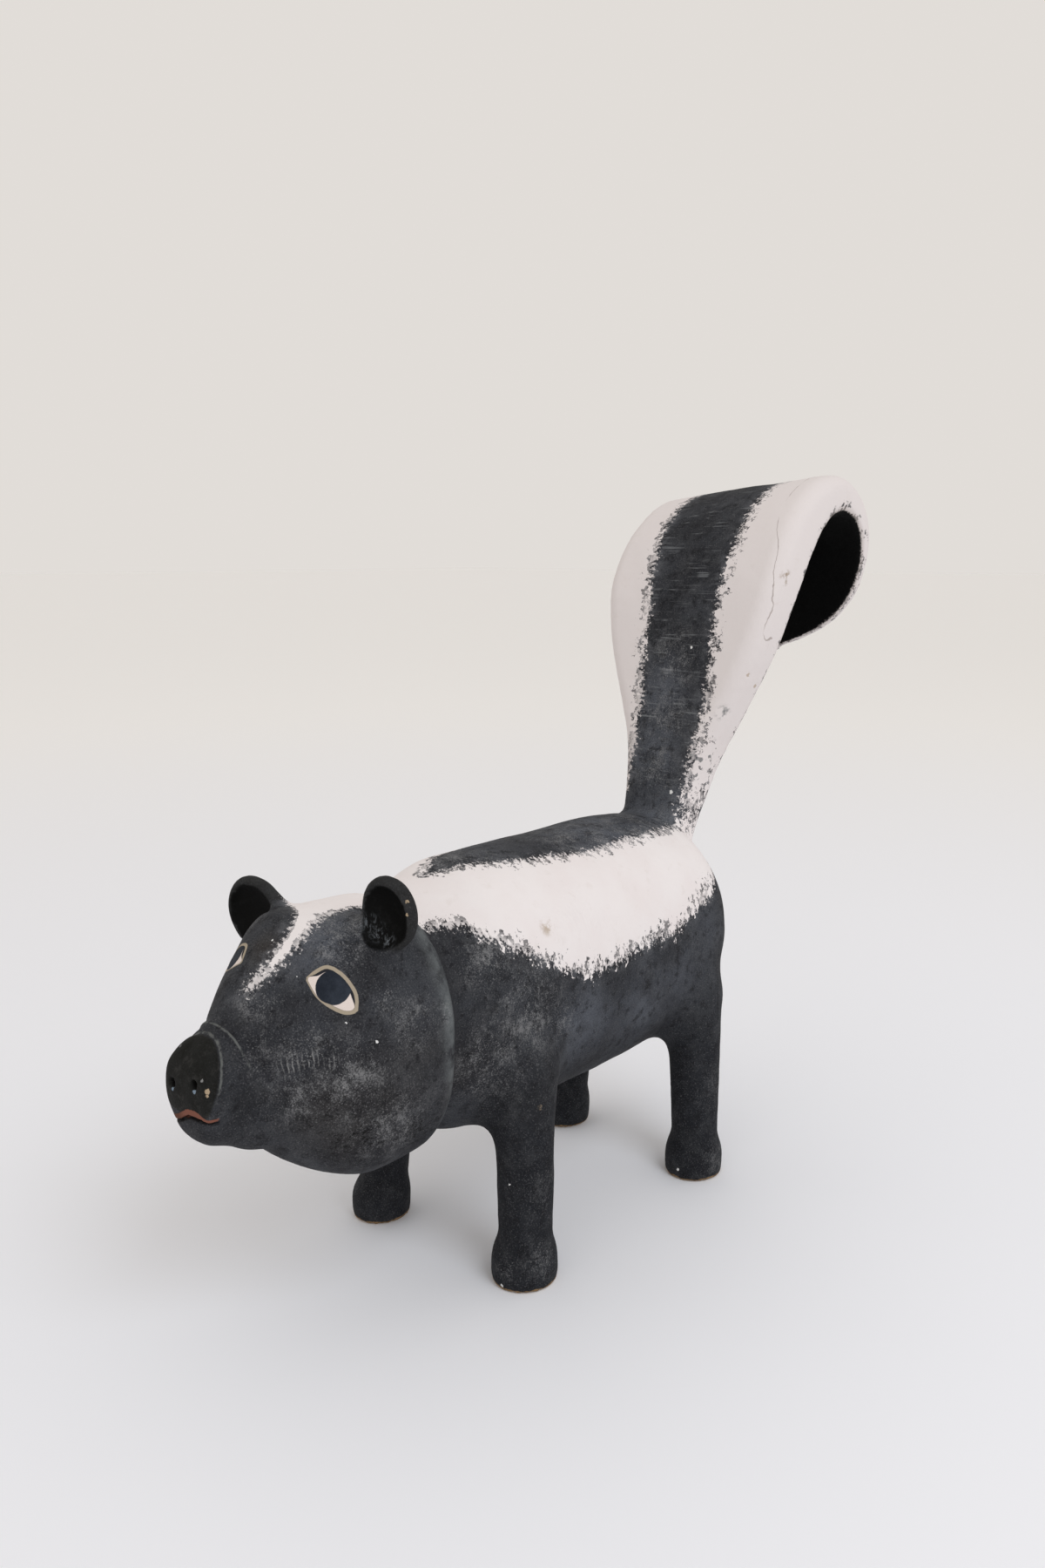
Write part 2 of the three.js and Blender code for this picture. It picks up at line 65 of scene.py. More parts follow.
# disc of the nose: middle, reach, and squareness in front view and in profile
NOSE = ((1, -274, 172.5), (21.5, 16, 22), 6, 2.6)
NOSE_BLEND = 3
# each leg: foot, top and size of the foot
LEGS = [((63.5, -90), (58, -85), 1), ((-63.5, -99), (-58, -90), 0.94), ((63.5, 97), (57, 102), 1),
        ((-63.5, 97), (-57, 102), 0.97)]
ANKLE_RADIUS, THIGH_RADIUS, ANKLE_Z, LEG_TOP_Z = 16.6, 19.3, 8, 130
FOOT_REACH, FOOT_Z, FOOT_FORWARD, FOOT_SQUARE = (19.8, 21.3, 17), 9, 1.5, 3.2
FOOT_BLEND, LEG_BLEND = 8, 22
# each ear: middle, reach, the way it points and the way it faces
EARS = [((48.5, -185, 257), (18, 9, 21), (-0.05, -0.08, 1), (0.15, -1, 0.15)),
        ((-56.5, -198.5, 239), (21, 9, 23.5), (-0.72, -0.14, 0.75), (0.1, -1, 0.1))]
# bowl of an ear: reach and way forward as shares of the ear's reach, and way down
EAR_HOLLOW, HOLLOW_FRONT, HOLLOW_DOWN = (0.86, 1.25, 0.9), 0.95, 1.5
EAR_BLEND, EAR_EDGE = 12, 1.5
# middle line of the tail from its root: y, z, half width and half thickness
TAIL = [(126, 238, 27, 19), (135, 262, 28, 19.5), (149, 303, 37, 19.5), (159, 340, 52, 19.5),
        (168.5, 383, 69, 20), (180, 423.5, 78, 20.8), (197.5, 454, 80, 20.8), (222.5, 477.5, 80, 18.5),
        (249, 487, 80, 15.5), (272.5, 480, 80, 12), (287.5, 462, 80, 9), (292, 440, 78, 7),
        (291.5, 415.5, 70, 6), (289, 397, 54, 5), (287, 385, 34, 5), (285, 375.5, 8, 4)]
# rounding of the tail's corners, at most this share of its half thickness
TAIL_CORNER, CORNER_SHARE, TAIL_BLEND = 13, 0.75, 9
# how far the tail leans to one side, from which height and over what height it sets in
TAIL_ROLL, ROLL_FROM, ROLL_OVER = 0.1, 330, 150
NOSTRILS, NOSTRIL_RADIUS, NOSTRIL_DEPTH, NOSTRIL_EDGE = [(-8.5, 175), (11, 179.5)], 2.6, 6, 1.0
# slit of the mouth from right to left: x and z
MOUTH = [(-23, 153.8), (-17, 152.5), (-11, 152.3), (-5, 154.3), (0.5, 157.4), (5.5, 159.8), (10.5, 160),
         (14.5, 159.4), (18.5, 158), (23, 160.2)]
MOUTH_OPEN, MOUTH_DEPTH, MOUTH_END, MOUTH_EDGE = 1.8, 4, -280.5, 1.0


def curve(rows, column, value):
    """Monotone curve through one column of a table of stations."""
    table = np.array(rows, float)
    xs, ys = table[:, 0], table[:, column]
    h = np.diff(xs)
    rise = np.diff(ys) / h
    slope = np.concatenate([rise[:1], np.zeros(len(xs) - 2), rise[-1:]])
    for i in range(1, len(xs) - 1):
        if rise[i - 1] * rise[i] > 0:
            a, b = 2 * h[i] + h[i - 1], h[i] + 2 * h[i - 1]
            slope[i] = (a + b) / (a / rise[i - 1] + b / rise[i])
    x = np.clip(value, xs[0], xs[-1])
    i = np.clip(np.searchsorted(xs, x) - 1, 0, len(xs) - 2)
    t = (x - xs[i]) / h[i]
    s = 1 - t
    return (ys[i] * (1 + 2 * t) * s * s + slope[i] * h[i] * t * s * s + ys[i + 1] * t * t * (3 - 2 * t)
            + slope[i + 1] * h[i] * t * t * (t - 1))


def join(a, b, k):
    h = np.maximum(k - np.abs(a - b), 0) / k
    return np.minimum(a, b) - h * h * k / 4


def cut(a, b, k):
    return -join(-a, -b, k)


def sweep(p, rows, rounding):
    y = p[:, 1]
    top, bottom, half, square = (curve(rows, c, y) for c in (1, 2, 3, 4))
    h = (top - bottom) / 2
    q = (np.abs(p[:, 0]) / half) ** square + (np.abs(p[:, 2] - (top + bottom) / 2) / h) ** square
    ends = np.maximum(rows[0][0] - y, y - rows[-1][0])
    return cut((q ** (1 / square) - 1) * np.minimum(half, h), ends, rounding)


def ball(p, at, reach, axes=None):
    q = p - np.array(at, float)
    if axes is not None:
        q = q @ axes.T
    r = np.array(reach, float)
    k0 = np.linalg.norm(q / r, axis=1)
    k1 = np.linalg.norm(q / r ** 2, axis=1)
    return k0 * (k0 - 1) / np.maximum(k1, 1e-9)


def block(p, at, reach, n, m):
    q = np.abs(p - np.array(at, float)) / np.array(reach, float)
    plan = (q[:, 0] ** n + q[:, 1] ** n) ** (m / n)
    return ((plan + q[:, 2] ** m) ** (1 / m) - 1) * min(reach)


def bar(p, a, b, ra, rb):
    a, b = np.array(a, float), np.array(b, float)
    t = np.clip(((p - a) @ (b - a)) / ((b - a) @ (b - a)), 0, 1)
    return np.linalg.norm(p - a - t[:, None] * (b - a), axis=1) - (ra + (rb - ra) * t)


def ear_axes(up, front):
    along = np.array(up, float) / np.linalg.norm(up)
    through = np.array(front, float)
    through -= along * (through @ along)
    through /= np.linalg.norm(through)
    return np.array([np.cross(through, along), through, along])


def spline(p0, p1, p2, p3, t):
    """Point on a smooth curve through p1 and p2, a share t of the way between them."""
    return 0.5 * (2 * p1 + (p2 - p0) * t + (2 * p0 - 5 * p1 + 4 * p2 - p3) * t * t
                  + (3 * p1 - p0 - 3 * p2 + p3) * t ** 3)


def tail_line():
    rows = np.array(TAIL, float)
    line = []
    for i in range(len(rows) - 1):
        near = rows[max(i - 1, 0)], rows[i], rows[i + 1], rows[min(i + 2, len(rows) - 1)]
        line += [spline(*near, t) for t in (0, 0.25, 0.5, 0.75)]
    return np.array(line + [rows[-1]])


TAIL_LINE = tail_line()
TAIL_RUN = np.concatenate([[0], np.cumsum(np.linalg.norm(np.diff(TAIL_LINE[:, :2], axis=0), axis=1))])


def on_tail(p):
    """For each point: distance from the tail's middle line, half width, half thickness, run and side."""
    s = np.clip((p[:, 2] - ROLL_FROM) / ROLL_OVER, 0, 1)
    y, z = p[:, 1], p[:, 2] - TAIL_ROLL * p[:, 0] * s * s * (3 - 2 * s)
    best = np.full(len(p), 1e9)
    half, thick, run, side = (np.zeros(len(p)) for _ in range(4))
    for i in range(len(TAIL_LINE) - 1):
        a, b = TAIL_LINE[i], TAIL_LINE[i + 1]
        d = b[:2] - a[:2]
        t = np.clip(((y - a[0]) * d[0] + (z - a[1]) * d[1]) / (d @ d), 0, 1)
        oy, oz = y - a[0] - t * d[0], z - a[1] - t * d[1]
        dist = np.hypot(oy, oz)
        near = dist < best
        best = np.where(near, dist, best)
        half = np.where(near, a[2] + (b[2] - a[2]) * t, half)
        thick = np.where(near, a[3] + (b[3] - a[3]) * t, thick)
        run = np.where(near, TAIL_RUN[i] + t * (TAIL_RUN[i + 1] - TAIL_RUN[i]), run)
        side = np.where(near, d[0] * oz - d[1] * oy, side)
    return best, half, thick, run, side


def tail(p):
    best, half, thick, _, _ = on_tail(p)
    r = np.minimum(TAIL_CORNER, thick * CORNER_SHARE)
    u, v = np.abs(p[:, 0]) - (half - r), best - (thick - r)
    return np.hypot(np.maximum(u, 0), np.maximum(v, 0)) + np.minimum(np.maximum(u, v), 0) - r


def body_and_head(p):
    """Distances from the body and the head, less than nothing inside the wood."""
    # the tail, the mouth and the nostrils are worked out only at points near them
    body = join(sweep(p, BARREL, BARREL_ROUND), ball(p, *NECK), NECK_BLEND)
    for foot, top, size in LEGS:
        shaft = bar(p, (*foot, ANKLE_Z), (*top, LEG_TOP_Z), ANKLE_RADIUS * size, THIGH_RADIUS)
        sole_at = (foot[0], foot[1] - FOOT_FORWARD, FOOT_Z)
        sole = block(p, sole_at, np.array(FOOT_REACH) * size, 2, FOOT_SQUARE)
        body = join(body, join(shaft, sole, FOOT_BLEND), LEG_BLEND)
    far = (p[:, 2] > 200) & (p[:, 1] > 80)
    if far.any():
        body[far] = join(body[far], tail(p[far]), TAIL_BLEND)
    head = join(sweep(p, HEAD, HEAD_ROUND), block(p, *NOSE), NOSE_BLEND)
    muzzle = (p[:, 1] < -262) & (p[:, 2] > 148) & (p[:, 2] < 170)
    if muzzle.any():
        q = p[muzzle]
        gap = np.abs(q[:, 2] - curve(MOUTH, 1, q[:, 0])) - MOUTH_OPEN / 2
        gap = np.maximum(np.maximum(gap, -(head[muzzle] + MOUTH_DEPTH)), (q[:, 1] - MOUTH_END) * 0.7)
        head[muzzle] = cut(head[muzzle], -gap, MOUTH_EDGE)
    axes = [ear_axes(e[2], e[3]) for e in EARS]
    for (at, reach, _, _), a in zip(EARS, axes):
        head = join(head, ball(p, at, reach, a), EAR_BLEND)
    for (at, reach, _, _), a in zip(EARS, axes):
        head = cut(head, -ball(p, ear_hollow(at, reach, a), np.array(reach) * EAR_HOLLOW, a), EAR_EDGE)
    nose = (p[:, 1] < -275) & (p[:, 2] > 165)
    if nose.any():
        q = p[nose]
        face = NOSE[0][1] - NOSE[1][1]
        for x, z in NOSTRILS:
            bore = np.hypot(q[:, 0] - x, q[:, 2] - z) - NOSTRIL_RADIUS
            bore = np.maximum(bore, q[:, 1] - face - NOSTRIL_DEPTH)
            head[nose] = cut(head[nose], -bore, NOSTRIL_EDGE)
    return body, head


def ear_hollow(at, reach, axes):
    return np.array(at) + axes[1] * reach[1] * HOLLOW_FRONT - axes[2] * HOLLOW_DOWN


def animal(p):
    body, head = body_and_head(p)
    return np.maximum(join(body, head, HEAD_BLEND), -p[:, 2])


# Fine mesh of that surface
def borders(stretches):
    out = [stretches[0][0]]
    for low, high, size in stretches:
        n = max(1, round((high - low) / size))
        out += [low + (high - low) * i / n for i in range(1, n + 1)]
    return np.array(out, float)


BLOCK = 4


def padded(lines):
    while (len(lines) - 1) % BLOCK:
        lines = np.append(lines, 2 * lines[-1] - lines[-2])
    return lines


# steps of the grid across, along and up: from, to and size, finer at the face
GRID = [padded(borders(s)) for s in (
    [(-92, -24, 2.5), (-24, 24, 1.5), (24, 92, 2.5)],
    [(-296, -252, 1.4), (-252, -164, 2.0), (-164, 120, 3.2), (120, 306, 2.5)],
    [(-4, 134, 3.0), (134, 150, 2.0), (150, 164, 1.2), (164, 206, 1.7), (206, 284, 2.1), (284, 516, 2.8)],
)]
# corners of each side of a cell, in order round it
SIDES = [(0, 1, 3, 2), (4, 5, 7, 6), (0, 1, 5, 4), (2, 3, 7, 6), (0, 2, 6, 4), (1, 3, 7, 5)]
# how near the surface a block of cells counts, in its radius and in millimetres
NEAR_SHARE, NEAR_EXTRA = 1.6, 5
# parts to work in, least distance, margin in a cell and probe
POINT_PARTS, NUDGE, CELL_MARGIN, PROBE = 24, 1e-3, 0.03, 0.05


def fine_mesh(distance, grid):
    """One vertex in each small cell that the surface crosses, and faces between neighbours."""
    coarse = [g[::BLOCK] for g in grid]
    size = [len(c) - 1 for c in coarse]
    mid = [(c[1:] + c[:-1]) / 2 for c in coarse]
    reach = [(c[1:] - c[:-1]) / 2 for c in coarse]
    ijk = np.stack(np.meshgrid(*[np.arange(n) for n in size], indexing="ij"), -1).reshape(-1, 3)
    centre = np.stack([mid[a][ijk[:, a]] for a in range(3)], 1)
    radius = np.linalg.norm(np.stack([reach[a][ijk[:, a]] for a in range(3)], 1), axis=1)
    ijk = ijk[np.abs(distance(centre)) < radius * NEAR_SHARE + NEAR_EXTRA]
    step = np.arange(BLOCK + 1)
    local = np.stack(np.meshgrid(step, step, step, indexing="ij"), -1).reshape(-1, 3)
    index = ijk[:, None, :] * BLOCK + local[None]
    points = np.stack([grid[a][index[..., a]] for a in range(3)], -1)
    counts = [len(g) for g in grid]
    name = (index[..., 0] * counts[1] + index[..., 1]) * counts[2] + index[..., 2]
    _, first, back = np.unique(name.ravel(), return_index=True, return_inverse=True)
    parts = np.array_split(points.reshape(-1, 3)[first], POINT_PARTS)
    value = np.concatenate([distance(part) for part in parts])
    back = back.reshape(len(ijk), *(BLOCK + 1,) * 3)
    corners = [(a, b, c) for a in (0, 1) for b in (0, 1) for c in (0, 1)]
    node = np.stack([back[:, a:BLOCK + a, b:BLOCK + b, c:BLOCK + c] for a, b, c in corners], -1)
    node = node.reshape(-1, 8)
    for side in SIDES * 4:
        ring = node[:, side]
        sign = value[ring] < 0
        crossed = (sign[:, 0] == sign[:, 2]) & (sign[:, 1] == sign[:, 3]) & (sign[:, 0] != sign[:, 1])
        pick = ring[crossed, np.abs(value[ring[crossed]]).argmin(1)]
        value[pick] = np.where(value[pick] < 0, NUDGE, -NUDGE)
    v = value[node]
    inner = np.stack(np.meshgrid(*[np.arange(BLOCK)] * 3, indexing="ij"), -1).reshape(-1, 3)
    cell = (ijk[:, None, :] * BLOCK + inner[None]).reshape(-1, 3)
    inside = v < 0
    used = inside.any(1) & ~inside.all(1)
    v, cell, inside = v[used], cell[used], inside[used]
    key = (cell[:, 0] * counts[1] + cell[:, 1]) * counts[2] + cell[:, 2]
    order = np.argsort(key)
    key, v, cell, inside = key[order], v[order], cell[order], inside[order]
    low = np.stack([grid[a][cell[:, a]] for a in range(3)], 1)
    high = np.stack([grid[a][cell[:, a] + 1] for a in range(3)], 1)
    total, number = np.zeros((len(cell), 3)), np.zeros(len(cell))
    for c in range(8):
        for bit, axis in ((4, 0), (2, 1), (1, 2)):
            if c & bit:
                continue
            cross = inside[:, c] != inside[:, c | bit]
            t = v[:, c] / np.where(cross, v[:, c] - v[:, c | bit], 1)
            at = np.array(corners[c], float) + np.zeros((len(cell), 3))
            at[:, axis] = t
            total += np.where(cross[:, None], low + at * (high - low), 0)
            number += cross
    vertex = total / number[:, None]
    margin = (high - low) * CELL_MARGIN
    for _ in range(2):
        d = distance(vertex)
        grad = np.stack([distance(vertex + e) - d for e in np.eye(3) * PROBE], 1) / PROBE
        move = d[:, None] * grad / np.maximum((grad ** 2).sum(1), 0.2)[:, None]
        vertex = np.clip(vertex - move, low + margin, high - margin)
    faces = []
    strides = (counts[1] * counts[2], counts[2], 1)
    for axis, corner in ((0, 4), (1, 2), (2, 1)):
        sel = np.nonzero(inside[:, 0] != inside[:, corner])[0]
        one, two = [strides[a] for a in range(3) if a != axis]
        quad = np.stack([np.searchsorted(key, key[sel] - o) for o in (0, one, one + two, two)], 1)
        flip = inside[sel, 0] != (axis == 1)
        quad[flip] = quad[flip][:, ::-1]
        faces.append(quad)
    return vertex, np.concatenate(faces)


def mesh_from(name, points, quads):
    a, b, c, d = (points[quads[:, i]] for i in range(4))
    short = np.linalg.norm(a - c, axis=1) <= np.linalg.norm(b - d, axis=1)
    tri = np.concatenate([quads[short][:, [0, 1, 2]], quads[short][:, [0, 2, 3]],
                          quads[~short][:, [0, 1, 3]], quads[~short][:, [1, 2, 3]]])
    mesh = bpy.data.meshes.new(name)
    mesh.vertices.add(len(points))
    mesh.vertices.foreach_set("co", points.astype(np.float32).ravel())
    mesh.loops.add(tri.size)
    mesh.loops.foreach_set("vertex_index", tri.astype(np.int32).ravel())
    mesh.polygons.add(len(tri))
    mesh.polygons.foreach_set("loop_start", np.arange(0, tri.size, 3, dtype=np.int32))
    mesh.update(calc_edges=True)
    mesh.validate()
    return mesh


vertex, faces = fine_mesh(animal, GRID)
skin = bpy.data.objects.new("painted_skunk", mesh_from("painted_skunk", vertex / 1000, faces))
bpy.context.scene.collection.objects.link(skin)
skin.data.shade_smooth()


# Fine relief of the carving
NORMAL_PROBE = 0.3


def lumps(p, size, seed):
    """Smooth random field between about -1 and 1, with lumps of the given size in millimetres."""
    q = p / size + seed * 31.7
    cell = np.floor(q).astype(np.int64)
    f = q - cell
    f = f * f * (3 - 2 * f)
    total = np.zeros(len(p))
    for corner in np.ndindex(2, 2, 2):
        c = cell + np.array(corner)
        h = (c[:, 0] * 73856093) ^ (c[:, 1] * 19349663) ^ (c[:, 2] * 83492791) ^ (seed * 2654435761)
        h = ((h ^ (h >> 13)) * 1274126177) & 0x7fffffff
        h = ((h ^ (h >> 15)) * 668265263) & 0x7fffffff
        total += (h / 0x3fffffff - 1) * np.prod(np.where(corner, f, 1 - f), axis=1)
    return total


def ease(value, low, high):
    t = np.clip((value - low) / (high - low), 0, 1)
    return t * t * (3 - 2 * t)


def normals(p):
    d = animal(p)
    grad = np.stack([animal(p + e) - d for e in np.eye(3) * NORMAL_PROBE], 1)
    return grad / np.maximum(np.linalg.norm(grad, axis=1), 1e-9)[:, None]


def nose_groove(p):
    """Distance behind the groove that sets the nose off from the muzzle."""
    return p[:, 1] + 273.2 - 0.37 * (p[:, 2] - 200) + 0.0009 * p[:, 0] ** 2


def muzzle_ridge(p):
    """Distance behind the soft ridge across the top of the muzzle."""
    return (p[:, 1] + 267.6 + 0.27 * (p[:, 2] - 203)) / 1.04


# lumps that the knife left: size, height and seed
KNIFE = [(26, 0.42, 1), (9, 0.16, 2), (4, 0.05, 3)]
# lines across the snout: which, offset, width and height
SNOUT_LINES = [(nose_groove, 0, 1.5, -1.3), (muzzle_ridge, 0, 1.7, 0.9), (muzzle_ridge, 3.4, 1.9, -0.5)]
# chips: place, radius and depth
CHIPS = [(63.8, -185.9, 266.4, 2.0, 0.9), (64.7, -186.9, 259.0, 1.8, 0.8), (76.5, -92.2, 118.4, 2.6, 0.7),
         (18.6, -287, 178.6, 1.8, 0.4), (77.4, 169.3, 432.9, 1.8, 0.6), (60.6, 154.2, 364.1, 1.8, 0.6),
         (58.5, 167.5, 354.6, 1.8, 0.6)]


def relief(p):
    """How far the knife left the surface above or below the plain form."""
    high = sum(height * lumps(p, size, seed) for size, height, seed in KNIFE)
    snout = ease(p[:, 2], 170, 186) * (p[:, 1] < -250)
    for line, offset, width, height in SNOUT_LINES:
        high += height * np.exp(-((line(p) - offset) / width) ** 2) * snout
    for *at, radius, depth in CHIPS:
        far = np.linalg.norm(p - np.array(at), axis=1)
        high -= depth * np.exp(-(far / radius) ** 2)
    return high * ease(p[:, 2], 0.5, 5)


co = np.empty(len(skin.data.vertices) * 3, np.float32)
skin.data.vertices.foreach_get("co", co)
mm = co.reshape(-1, 3).astype(float) * 1000
surface = mm + normals(mm) * relief(mm)[:, None]
surface[:, 2] = np.maximum(surface[:, 2], 0)

# Seat it in the solid's box
low, high = surface.min(0) / 1000, surface.max(0) / 1000
cad_low, cad_high = np.array(cad_box[0]), np.array(cad_box[1])
fit = np.minimum((cad_high - cad_low) / (high - low), 1.0)
seat = (cad_low + cad_high) / 2 - (low + high) / 2 * fit
seat[2] = cad_low[2] - low[2] * fit[2]
skin.data.vertices.foreach_set("co", (surface / 1000 * fit + seat).astype(np.float32).ravel())
skin.data.update()

# Where each paint lies
AXIS_Z = 178
# how far white reaches round the barrel from the top, in degrees, on the left and on the right
WHITE_LEFT = [(-262, 9), (-253.4, 13.6), (-242.4, 15.8), (-228.6, 15.6), (-218.4, 13.0), (-200, 7.4),
              (-182, 7.2), (-176, 10), (-160, 20), (-145, 27), (-125, 33), (-110, 45), (-85, 60), (-57, 72),
              (-34, 79.5), (-7, 79), (21, 75.3), (50, 74.6), (72, 70), (90, 63.6), (112, 57), (128, 46),
              (140, 30), (152, -5), (165, -30)]
WHITE_RIGHT = [(-262, -15), (-252.4, -12.6), (-244.7, -12.4), (-234.2, -11.6), (-220.8, -7.6), (-207.6, 3.5),
               (-199, 17), (-190, 28), (-175, 29), (-145, 31), (-125, 35), (-110, 46), (-85, 61), (-57, 72),
               (-34, 80), (-7, 81), (21, 76), (50, 74), (72, 71), (90, 65), (112, 58), (128, 47), (140, 30),
               (152, -5), (165, -30)]
# tip of the blaze, how much thinner it is there, and where the white ends on the rump
BLAZE_TIP_Y, BLAZE_THIN, RUMP_Y, RUMP_Z = -251, 2.6, 138, 208
# half width of the black stripe down the back, in degrees
SPINE = [(-134, -20), (-119, 0), (-108, 6), (-80, 15), (-54, 19), (-25, 22.5), (23, 26), (86, 24.5),
         (129, 20), (165, 20)]
# run along the tail, right edge and left edge of its black stripe
TAIL_STRIPE = [(0, 30, 31), (24, 30.5, 29.5), (36, 26, 29), (63, 28.5, 30), (90, 29.5, 35), (133, 31, 35.4),
               (180, 35.4, 33.6), (212, 40.2, 36.2), (233, 44, 36.8), (265, 45, 36.5), (320, 42, 36),
               (362, 37, 35), (400, 24, 24), (428, 8, 8)]
# hairline crack in the white of the tail: height and place across
TAIL_CRACK = [(395, 70), (411, 72.5), (424, 73), (448, 72.9), (473, 65.2), (485, 61), (497, 60)]
# outline of the left eye, and where each eye lies: middle, direction it faces, side, turn and height
EYE = [(32.1, -231.7, 227.2), (34.2, -225.9, 231.4), (37.8, -220.2, 233.2), (44.2, -215.1, 228.5),
       (49.4, -211.8, 220.6), (51.5, -211.5, 214.9), (52.9, -213.3, 208.2), (49.7, -219.4, 208.0),
       (44.3, -225.9, 212.4), (38.8, -230.2, 218.4)]
# its two corners, and how far round and how deep its paint reaches
EYE_CORNERS, EYE_ROOM, EYE_DEPTH = (0, 6), 26, -14
EYES = [((43.6, -222.1, 221.5), (0.79, -0.55, 0.27), 1, 0.0, 1.0),
        ((-21.0, -238.5, 227.6), (-0.51, -0.63, 0.58), -1, -0.12, 0.92)]
IRIS_RADIUS, IRIS_SHIFT, IRIS_TALL = 9.6, np.array((0.2, 0.8)), 1.03
# how high the lip's colour reaches above the mouth, from right to left
LIP = [(-23, 4.2), (0, 4.4), (12, 5.0), (18, 3.6), (24, 0.9)]
# distances that stand for far away
FAR, EYE_FAR = 99.0, 50.0


def flat_axes(out):
    out = out / np.linalg.norm(out)
    across = np.cross((0, 0, 1), out)
    across /= np.linalg.norm(across)
    return np.array([across, np.cross(out, across)])


def smooth_ring(points, corners, steps=6):
    """Closed curve through flat points that keeps its corners sharp."""
    n, ring = len(points), []
    for i in range(n):
        p1, p2 = points[i], points[(i + 1) % n]
        p0 = 2 * p1 - p2 if i in corners else points[i - 1]
        p3 = 2 * p2 - p1 if (i + 1) % n in corners else points[(i + 2) % n]
        ring += [spline(p0, p1, p2, p3, t) for t in np.arange(steps) / steps]
    return np.array(ring)


def ring_distance(q, ring):
    """Distance from a flat closed ring, less than nothing inside it."""
    best, odd = np.full(len(q), 1e9), np.zeros(len(q), bool)
    for a, b in zip(ring, np.roll(ring, -1, axis=0)):
        d = b - a
        t = np.clip(((q - a) @ d) / (d @ d), 0, 1)
        best = np.minimum(best, np.linalg.norm(q - a - t[:, None] * d, axis=1))
        crosses = (a[1] > q[:, 1]) != (b[1] > q[:, 1])
        odd ^= crosses & (q[:, 0] < a[0] + (q[:, 1] - a[1]) * d[0] / (d[1] if d[1] else 1e-9))
    return np.where(odd, -best, best)


def painted_eyes(p):
    """Distances from the outline and the iris of the nearer eye, and places across and along its lids."""
    edge, iris, lid, along = (np.full(len(p), EYE_FAR) for _ in range(4))
    axes = flat_axes(np.array(EYES[0][1]))
    points = (np.array(EYE) - np.array(EYES[0][0])) @ axes.T
    ring = smooth_ring(points, EYE_CORNERS)
    front, rear = (points[c] for c in EYE_CORNERS)
    slope = (rear - front) / np.linalg.norm(rear - front)
    for at, out, side, turn, height in EYES:
        q = p - np.array(at)
        near = (np.linalg.norm(q, axis=1) < EYE_ROOM) & (q @ np.array(out) > EYE_DEPTH)
        flat = q[near] @ flat_axes(np.array(out)).T * (side, 1)
        flat = flat @ np.array([[np.cos(turn), np.sin(turn)], [-np.sin(turn), np.cos(turn)]]) / (1, height)
        edge[near] = ring_distance(flat, ring)
        iris[near] = np.linalg.norm((flat - IRIS_SHIFT) * (1.0, IRIS_TALL), axis=1) - IRIS_RADIUS
        lid[near] = (flat - front) @ np.array([-slope[1], slope[0]])
        along[near] = (flat - front) @ slope
    return edge, iris, lid, along


def white_reach(p, around):
    """How far inside the white of body and head each point lies, and where the border is crisp."""
    radius = np.hypot(p[:, 0], p[:, 2] - AXIS_Z) * np.pi / 180
    left, right = curve(WHITE_LEFT, 1, p[:, 1]) - around, curve(WHITE_RIGHT, 1, p[:, 1]) + around
    spine = np.abs(around) - curve(SPINE, 1, p[:, 1])
    reach = np.minimum(np.minimum(left, right), spine) * radius
    reach = np.minimum(reach, p[:, 1] - BLAZE_TIP_Y) - BLAZE_THIN * ease(-p[:, 1], 235, 249)
    reach = np.where(p[:, 1] > RUMP_Y, np.minimum(reach, p[:, 2] - RUMP_Z), reach)
    return reach, ease(-p[:, 1], 188, 212) * (right < left)


